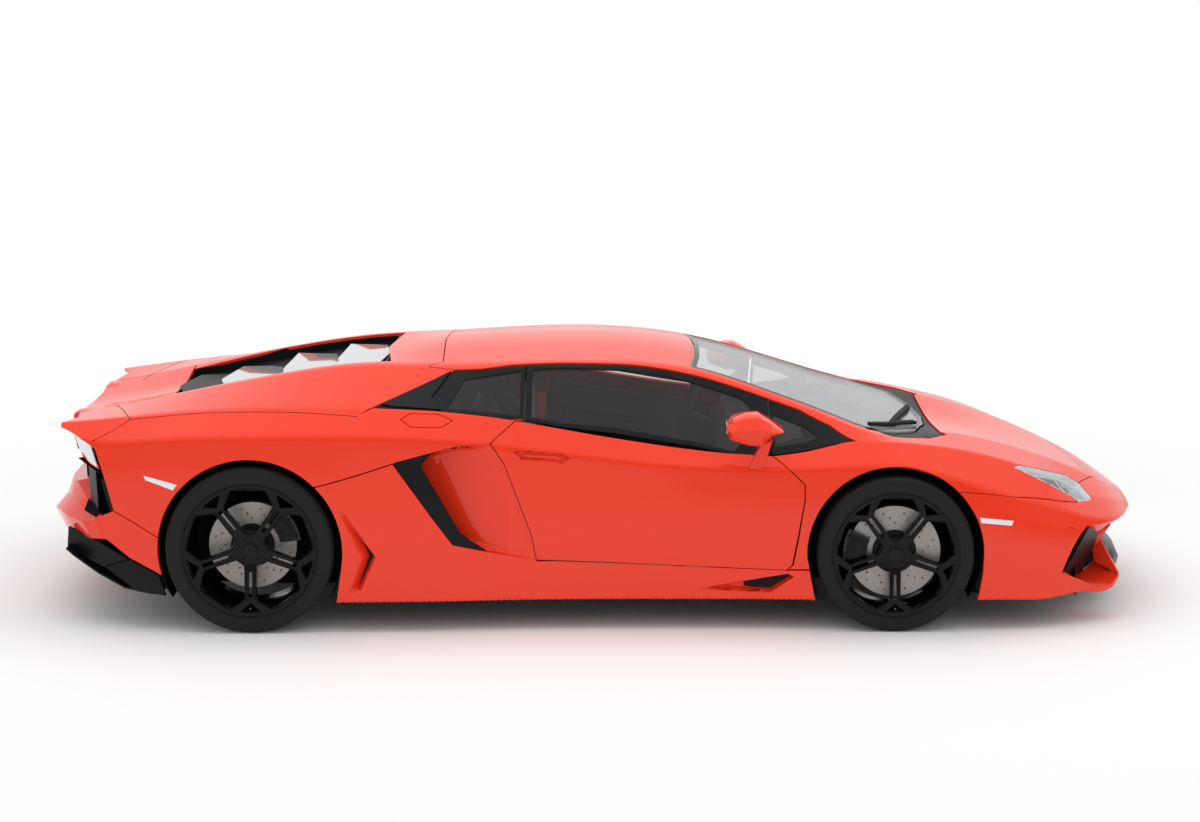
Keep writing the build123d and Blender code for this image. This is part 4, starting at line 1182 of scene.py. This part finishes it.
faceted("tail_blade", *loft(blade_rows), gloss_black, bevel=2.0, hands=BOTH)
bar = ((-2050, -905, 640), (-2026, -914, 655), (-1996, -925, 512), (-2010, -922, 500))
flat_form("tail_vent_bar", bar, black, 14.0, 3.0)
fin = ((-2132, -872, 500), (-2112, -866, 552), (-2040, -905, 478), (-2064, -902, 470))
flat_form("tail_vent_fin", fin, satin_black, 12.0, 3.0)

# the diffuser, its end pieces and its fins
floor_rows = [[(x, y, z) for y in (-840, -430, 0, 430, 840)] for x, z in
              ((-1860, 132), (-1980, 160), (-2090, 225), (-2190, 300), (-2222, 330))]
faceted("diffuser_floor", *sheet(floor_rows), black, thick=8.0, bevel=0.0, replaced=("diffuser",))
end_piece = ((-2047, -900, 265), (-1934, -925, 302), (-1812, -945, 238), (-1784, -948, 150),
             (-1904, -945, 168))
flat_form("diffuser_end", end_piece, satin_black, 16.0, 4.0)
corner_piece = ((-2226, -740, 404), (-2234, -740, 310), (-2052, -890, 262), (-1940, -915, 298),
                (-2080, -880, 372))
flat_form("diffuser_corner", corner_piece, black, 14.0, 4.0)
for number, y in enumerate((-640, -430, -215, 215, 430, 640)):
    end = -2334 + abs(y) * 0.13
    fin = ((-1960, y, 140), (-2060, y, 172), (-2150, y, 208), (end + 8, y, 282), (end, y, 318),
           (-2200, y, 316), (-2100, y, 232))
    flat_form(f"diffuser_fin_{number}", fin, black, 9.0, 2.5, hands=RIGHT)

# the outlets in the middle: a six-sided ring, its back and two pipes
outlet = [(-150, 0), (-118, -52), (118, -52), (150, 0), (118, 52), (-118, 52)]
inner_outlet = [(-138, 0), (-110, -43), (110, -43), (138, 0), (110, 43), (-110, 43)]
for name, loops, x, z, thick, gap, rounding, material, slot in (
    ("outlet_ring", [outlet, inner_outlet], -2352, 362, 46.0, 0.0, 3.0, metal, "disc"),
    ("outlet_back", [inner_outlet], -2338, 356, 4.0, -1.0, 1.0, structure, "structure"),
):
    data = plate(loops, facing((x, 0, z), (0, -1, 0), (0.38, 0, 0.92)), thick, gap, 24.0, rounding=rounding)
    placed(name, data, material, hands=RIGHT)
PIPE = ((24, 36), (-22, 36), (-24, 35), (-24, 33), (22, 33))  # (x, radius) round its wall
PIPE_SIDES = 24
for number, y in enumerate((-62, 62)):
    points = []
    for k in range(PIPE_SIDES + 1):
        a = 2 * pi * k / PIPE_SIDES
        points.append([(-2352 + x, y + r * cos(a), 361 + r * sin(a)) for x, r in PIPE])
    faceted(f"outlet_pipe_{number}", *loft(points, caps=False), metal, slot="disc", bevel=0.0)

# the tail's trailing edge: two raised lobes either side of a low middle
EDGE = ((-2196, 3), (-2244, 1), (-2256, -8), (-2258, -40), (-2248, -48), (-2190, -40))
lobes = ((-424, 838), (-404, 842), (-330, 840), (-296, 834), (-240, 824), (0, 820))
rows = mirrored_rows([[(x, y, top_z + z) for x, z in EDGE] for y, top_z in lobes])
faceted("tail_lip", *loft(rows), paint, bevel=5.0, smooth=24.0)

# ---------------------------------------------------------------- mirrors
MIRROR = ((556, 884), (584, 920), (634, 938), (690, 940), (744, 908), (794, 872), (738, 846), (704, 808),
          (646, 812), (570, 838))
MIRROR_X, MIRROR_Z = 664, 876  # the middle that the outline shrinks to
# y, the outline's scale and a further share of its height
SHELL = ((-918, 0.70, 0.9), (-926, 0.90, 1.0), (-950, 1.0, 1.0), (-1060, 1.0, 1.0), (-1084, 0.98, 0.9),
         (-1121, 0.9, 0.34), (-1127, 0.86, 0.16))
rows = []
for y, scale, flat in SHELL:
    rows.append([
        (MIRROR_X + (x - MIRROR_X) * scale, y, MIRROR_Z + (z - MIRROR_Z) * scale * flat) for x, z in MIRROR
    ])
faceted("mirror_shell", *loft(rows), paint, "door_SIDE", bevel=3.0, smooth=18.0, hands=BOTH,
        replaced=("mirror_SIDE",))
arm = ((655, -936, 694), (708, -936, 690), (727, -960, 728), (752, -1010, 832), (704, -1010, 808),
       (690, -975, 776))
flat_form("mirror_arm", arm, paint, 24.0, 8.0, body="door_SIDE")
glass_shape = [(-58, 2), (-46, 26), (36, 28), (50, 8), (44, -22), (-38, -28)]
glass_plane = facing((557, -1000, 880), (0, -1, 0), (-0.05, 0, 1))
mirror_glass = plate([glass_shape], glass_plane, 5.0, 0.0, 20.0, rounding=2.0)
placed("mirror_glass", mirror_glass, mirror_silver, "door_SIDE")


# ---------------------------------------------------------------- shut lines inside the panels, as painted shade
def painted_shut_shade(name, line):
    """A black strip on the skin along (x, v) places: painted shade standing for the dark inside of a shut gap.
    """
    line = np.array(line, dtype=float)
    width, lift, step, v_length = 3.0, 0.5, 14, 260
    reach = np.concatenate(([0], np.cumsum(np.hypot(np.diff(line[:, 0]), v_length * np.diff(line[:, 1])))))
    at = np.linspace(0, reach[-1], max(2, int(reach[-1] / step)))
    x, v = np.interp(at, reach, line[:, 0]), np.interp(at, reach, line[:, 1])
    middle, normals = skin(x, v), skin_normals(x, v)
    aside = unit(np.cross(normals, np.gradient(middle, axis=0))) * width / 2
    middle += normals * lift
    rows = list(zip(middle - aside, middle + aside))
    faceted(name, *sheet(rows), rough_black, slot="paint", bevel=0.0, hands=BOTH)


# black strips of painted shade along the shut gaps of the buttress, the door's rear edge and the tail
painted_shut_shade("shut_shade_buttress", [(-976, 2.28), (-1219, 2.17), (-1644, 2.10), (-1939, 2.13), (-2089, 3.02)])
painted_shut_shade("shut_shade_door_rear", INTAKE_FRONT)
painted_shut_shade("shut_shade_tail", [(-1939, 2.13), (-2011, 1.45), (-2085, 0.80)])

# ---------------------------------------------------------------- wheel housings
HOUSING_GAP = 6  # the housings stand back from the edges of the openings
for name, (x, z, radius), y0, y1 in (("front", FRONT_ARCH, -540, -905), ("rear", REAR_ARCH, -560, -950)):
    line = arc(x, z, radius + HOUSING_GAP, -32, 212, 40)
    rows = [[(px, y, pz) for y in (y0, (y0 + y1) / 2, y1)] for px, pz in line]
    faceted(f"housing_{name}", *sheet(rows), rough_black, slot="structure", thick=4.0, bevel=0.0, hands=BOTH)


# ---------------------------------------------------------------- seats and cabin
VOXEL = 7.0  # the pads' mesh, in millimetres
SEAM = 0.007  # a seam's depth and half width, in metres
CLOTH_FRAMES = 20


def cushion(name, rows, material, channels=(), swell=22.0):
    """Padded seat pieces on both sides: closed forms blown up as cloth, with sewn channels across.

    rows run up the pad's middle; channels are the shares of its length that a seam pulls in.
    """
    pad = rough_form(*loft(rows))

    def apply():
        new = worked(pad)
        pad.modifiers.clear()
        pad.data = new

    def vertex_values(what):
        return np.array([getattr(vertex, what) for vertex in pad.data.vertices])

    remesh = pad.modifiers.new("even", "REMESH")
    remesh.mode, remesh.voxel_size = "VOXEL", VOXEL * MM
    apply()
    before = vertex_values("co")
    cloth = pad.modifiers.new("cloth", "CLOTH")
    cloth.settings.use_pressure = True
    cloth.settings.uniform_pressure_force = 4.0
    cloth.settings.effector_weights.gravity = 0.0
    cloth.settings.quality = 4
    cloth.point_cache.frame_start, cloth.point_cache.frame_end = 1, CLOTH_FRAMES
    for step in range(1, CLOTH_FRAMES + 1):
        bpy.context.scene.frame_set(step)
    apply()
    bpy.context.scene.frame_set(1)
    moved = vertex_values("co") - before
    far = np.linalg.norm(moved, axis=1)
    after = before + moved * np.minimum(1.0, swell * MM / np.maximum(far, 1e-9))[:, None]
    start, end = np.mean(rows[0], axis=0) * MM, np.mean(rows[-1], axis=0) * MM
    run = end - start
    share = ((after - start) @ run) / (run @ run)
    pull = np.zeros(len(after))
    for channel in channels:
        pull += SEAM * np.exp(-(((share - channel) * np.linalg.norm(run) / SEAM) ** 2))
    after -= vertex_values("normal") * pull[:, None]
    pad.data.vertices.foreach_set("co", after.ravel())
    pad.modifiers.new("subdivision", "SUBSURF").levels = 1
    apply()
    shape = pad.data
    shape.polygons.foreach_set("use_smooth", [True] * len(shape.polygons))
    shape.materials.clear()
    bpy.data.objects.remove(pad)
    other = shape.copy()
    other.transform(Matrix.Diagonal((1.0, -1.0, 1.0, 1.0)))
    other.flip_normals()
    pieces = []
    for hand, own in (("right", shape), ("left", other)):
        piece = link(f"{name}_{hand}", own, material, "body")
        pieces.append(piece)
    return pieces


def slab(line, thick, y0, y1, round_in=22.0):
    """Rows of a pad's outline along a line of (x, z), between y0 and y1, drawn in at both ends."""
    line = np.array(line, dtype=float)
    along = np.gradient(line, axis=0)
    along /= np.linalg.norm(along, axis=1)[:, None]
    rows = []
    for number, ((x, z), (run_x, run_z)) in enumerate(zip(line, along)):
        end = number in (0, len(line) - 1)
        half, inset = thick / 2 * (0.62 if end else 1.0), round_in if end else 0.0
        a, b = y0 + inset, y1 - inset
        lower = [(a, 0.5), (a + 12, 1.0), ((a + b) / 2, 1.0), (b - 12, 1.0), (b, 0.5)]
        ring_points = [(y, -lift) for y, lift in lower] + lower[::-1]
        rows.append([(x - run_z * half * lift, y, z + run_x * half * lift) for y, lift in ring_points])
    return rows


seat_line = ((84, 306), (40, 318), (-60, 302), (-160, 286), (-214, 284))
back_line = ((-214, 318), (-262, 430), (-318, 560), (-372, 700), (-404, 790))
head_line = ((-414, 812), (-436, 850), (-456, 884))
side_line = ((92, 318), (20, 334), (-90, 318), (-190, 306))
wing_line = ((-196, 360), (-240, 470), (-300, 610), (-352, 730))
seat_pieces = cushion("seat_base", slab(seat_line, 54, -530, -230), leather, (0.35, 0.65))
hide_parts("seats")
cushion("seat_back", slab(back_line, 52, -520, -240), leather, (0.25, 0.5, 0.75))
cushion("seat_head", slab(head_line, 48, -460, -300, round_in=12.0), leather)
for name, y0, y1 in (("inner", -222, -176), ("outer", -584, -538)):
    cushion(f"seat_side_{name}", slab(side_line, 66, y0, y1, round_in=8.0), red_leather, swell=12.0)
    cushion(f"seat_wing_{name}", slab(wing_line, 74, y0, y1, round_in=8.0), red_leather, swell=12.0)
shell = ((60, 236), (-200, 236), (-300, 300), (-400, 560), (-492, 800), (-520, 884), (-498, 896), (-462, 800),
         (-372, 580), (-268, 300), (-196, 262), (66, 276))
rows = [[(x, y, z) for x, z in shell] for y in (-592, -580, -380, -180, -168)]
faceted("seat_shell", *loft(rows), satin_black, slot="cabin_trim", bevel=7.0, smooth=25.0, hands=BOTH)
belt = ((-216, -610, 960), (-216, -620, 920), (-232, -650, 760), (-236, -660, 520))
rows = [[(x - 22, y, z), (x + 22, y, z)] for x, y, z in belt]
faceted("belt", *sheet(rows), belt_red, slot="seat", thick=2.6, bevel=0.8, hands=BOTH)
pillar = ((-290, -560, 1000), (-246, -560, 1000), (-236, -700, 760), (-250, -760, 560), (-300, -760, 560),
          (-310, -700, 760))
flat_form("pillar_trim", pillar, pillar_grey, 26.0, 6.0, slot="cabin_trim")
card = side((640, 640), (800, 600), (780, 330), (-200, 345), (-270, 520), (-330, 770), (-250, 800), (0, 770),
            (430, 700))
pull = side((-140, 640), (260, 590), (264, 560), (-130, 606))
for name, outline, thick, depth, spacing, material in (
    ("door_card", card, 34.0, 20.0, 40.0, leather), ("door_pull", pull, 26.0, 50.0, 24.0, satin_black),
):
    data = panel(outline, gap=0.0, thick=thick, depth=depth, spacing=spacing)
    placed(name, data, material, "door_SIDE")

# ---------------------------------------------------------------- CAD nodes that stay
KEPT = {
    "tub": carpet, "undertray": rough_black, "engine": cast_metal, "suspension": dark_metal,
    "rear_window": smoked, "dashboard": leather, "steering_wheel": leather, "wipers": rubber,
}
KEPT.update({node: dark_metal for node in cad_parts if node.startswith("knuckle")})
for node, material in KEPT.items():
    mesh = bpy.data.objects[node].data
    mesh.materials.clear()
    mesh.materials.append(material)

# ---------------------------------------------------------------- stage
WHITE = (1, 1, 1, 1)


def mixed(tree, share, first, second):
    """A mix of two shaders, by a share that goes to the second."""
    return add_node(tree, "MixShader", {0: share, 1: first, 2: second}).outputs[0]


def ray_switch(tree, looking, lighting):
    """Gives the first shader to rays that only look, and the second to rays that light or mirror."""
    rays = add_node(tree, "LightPath", {}).outputs
    looks = {0: rays["Is Camera Ray"], 1: rays["Is Transmission Ray"]}
    looks = add_node(tree, "Math", looks, operation="MAXIMUM").outputs[0]
    return mixed(tree, looks, lighting, looking)


def in_scene(name, data):
    """A new object in the scene."""
    thing = bpy.data.objects.new(name, data)
    bpy.context.collection.objects.link(thing)
    return thing


# the floor turns into the white ground between these distances from the origin, in metres
FADE_START, FADE_END, FLOOR_HALF = 2.6, 5.0, 60
floor_mesh = bpy.data.meshes.new("floor")
floor_corners = [(x * FLOOR_HALF, y * FLOOR_HALF, 0) for x, y in ((-1, -1), (1, -1), (1, 1), (-1, 1))]
floor_mesh.from_pydata(floor_corners, [], [(0, 1, 2, 3)])
floor = in_scene("floor", floor_mesh)
floor_paint = principled("floor", (0.93, 0.93, 0.93), 0.7, Specular_IOR_Level=0.1)
floor_mesh.materials.append(floor_paint)
tree = floor_paint.node_tree
ground = tree.nodes["Principled BSDF"].outputs[0]
glow = add_node(tree, "Emission", {"Color": WHITE}).outputs[0]
place = add_node(tree, "TexCoord", {}).outputs["Object"]
length = add_node(tree, "VectorMath", {0: place}, operation="LENGTH").outputs["Value"]
away = {"From Min": FADE_START, "From Max": FADE_END, "Value": length}
away = add_node(tree, "MapRange", away, interpolation_type="SMOOTHSTEP").outputs["Result"]
seen = ray_switch(tree, mixed(tree, away, ground, glow), ground)
tree.links.new(seen, tree.nodes["Material Output"].inputs["Surface"])

# the studio: even light, a ceiling and a lit side for mirrored rays, and white for the camera
world = bpy.data.worlds.new("studio")
bpy.context.scene.world = world
world.use_nodes = True
tree = world.node_tree
light = tree.nodes["Background"]
light.inputs["Color"].default_value = WHITE
light.inputs["Strength"].default_value = 0.85
white = add_node(tree, "Background", {"Color": WHITE}).outputs[0]
heading = add_node(tree, "TexCoord", {}).outputs["Generated"]
heading = add_node(tree, "SeparateXYZ", {0: heading}).outputs
tones = []
for axis, stops in (("Z", ((0.0, 0.55), (0.22, 0.12), (0.45, 0.45), (0.75, 0.85))),
                    ("Y", ((0.0, 0.08), (0.35, 0.3), (0.7, 0.8), (0.97, 0.95)))):
    tone = add_node(tree, "ValToRGB", {"Fac": heading[axis]})
    for number, (position, level) in enumerate(stops):
        stop = tone.color_ramp.elements[number] if number < 2 else tone.color_ramp.elements.new(position)
        stop.position = position
        stop.color = (level, level, level, 1)
    tones.append(tone.outputs["Color"])
ceiling = add_node(tree, "Mix", {}, data_type="RGBA", blend_type="LIGHTEN")
ceiling.inputs["Factor"].default_value = 1.0
tree.links.new(tones[0], ceiling.inputs["A"])
tree.links.new(tones[1], ceiling.inputs["B"])
mirrored = add_node(tree, "Background", {"Color": ceiling.outputs["Result"]}).outputs[0]
glossy = add_node(tree, "LightPath", {}).outputs["Is Glossy Ray"]
around = ray_switch(tree, white, mixed(tree, glossy, light.outputs[0], mirrored))
tree.links.new(around, tree.nodes["World Output"].inputs["Surface"])

softbox = bpy.data.lights.new("softbox", "AREA")
softbox.shape = "RECTANGLE"
softbox.size, softbox.size_y = 9.0, 5.0
softbox.energy = 150.0
softbox_object = in_scene("softbox", softbox)
softbox_object.location = (0.0, -0.5, 5.5)
softbox_object.visible_glossy = False

camera_data = bpy.data.cameras.new("camera")
camera_data.sensor_width = 36.0
camera_data.lens = 77.46
camera = in_scene("camera", camera_data)
camera.location = (0.037, -11.5, 2.793)
camera.rotation_euler = (radians(80.03), 0.0, 0.0)
bpy.context.scene.camera = camera
bpy.context.scene.view_settings.view_transform = "Standard"
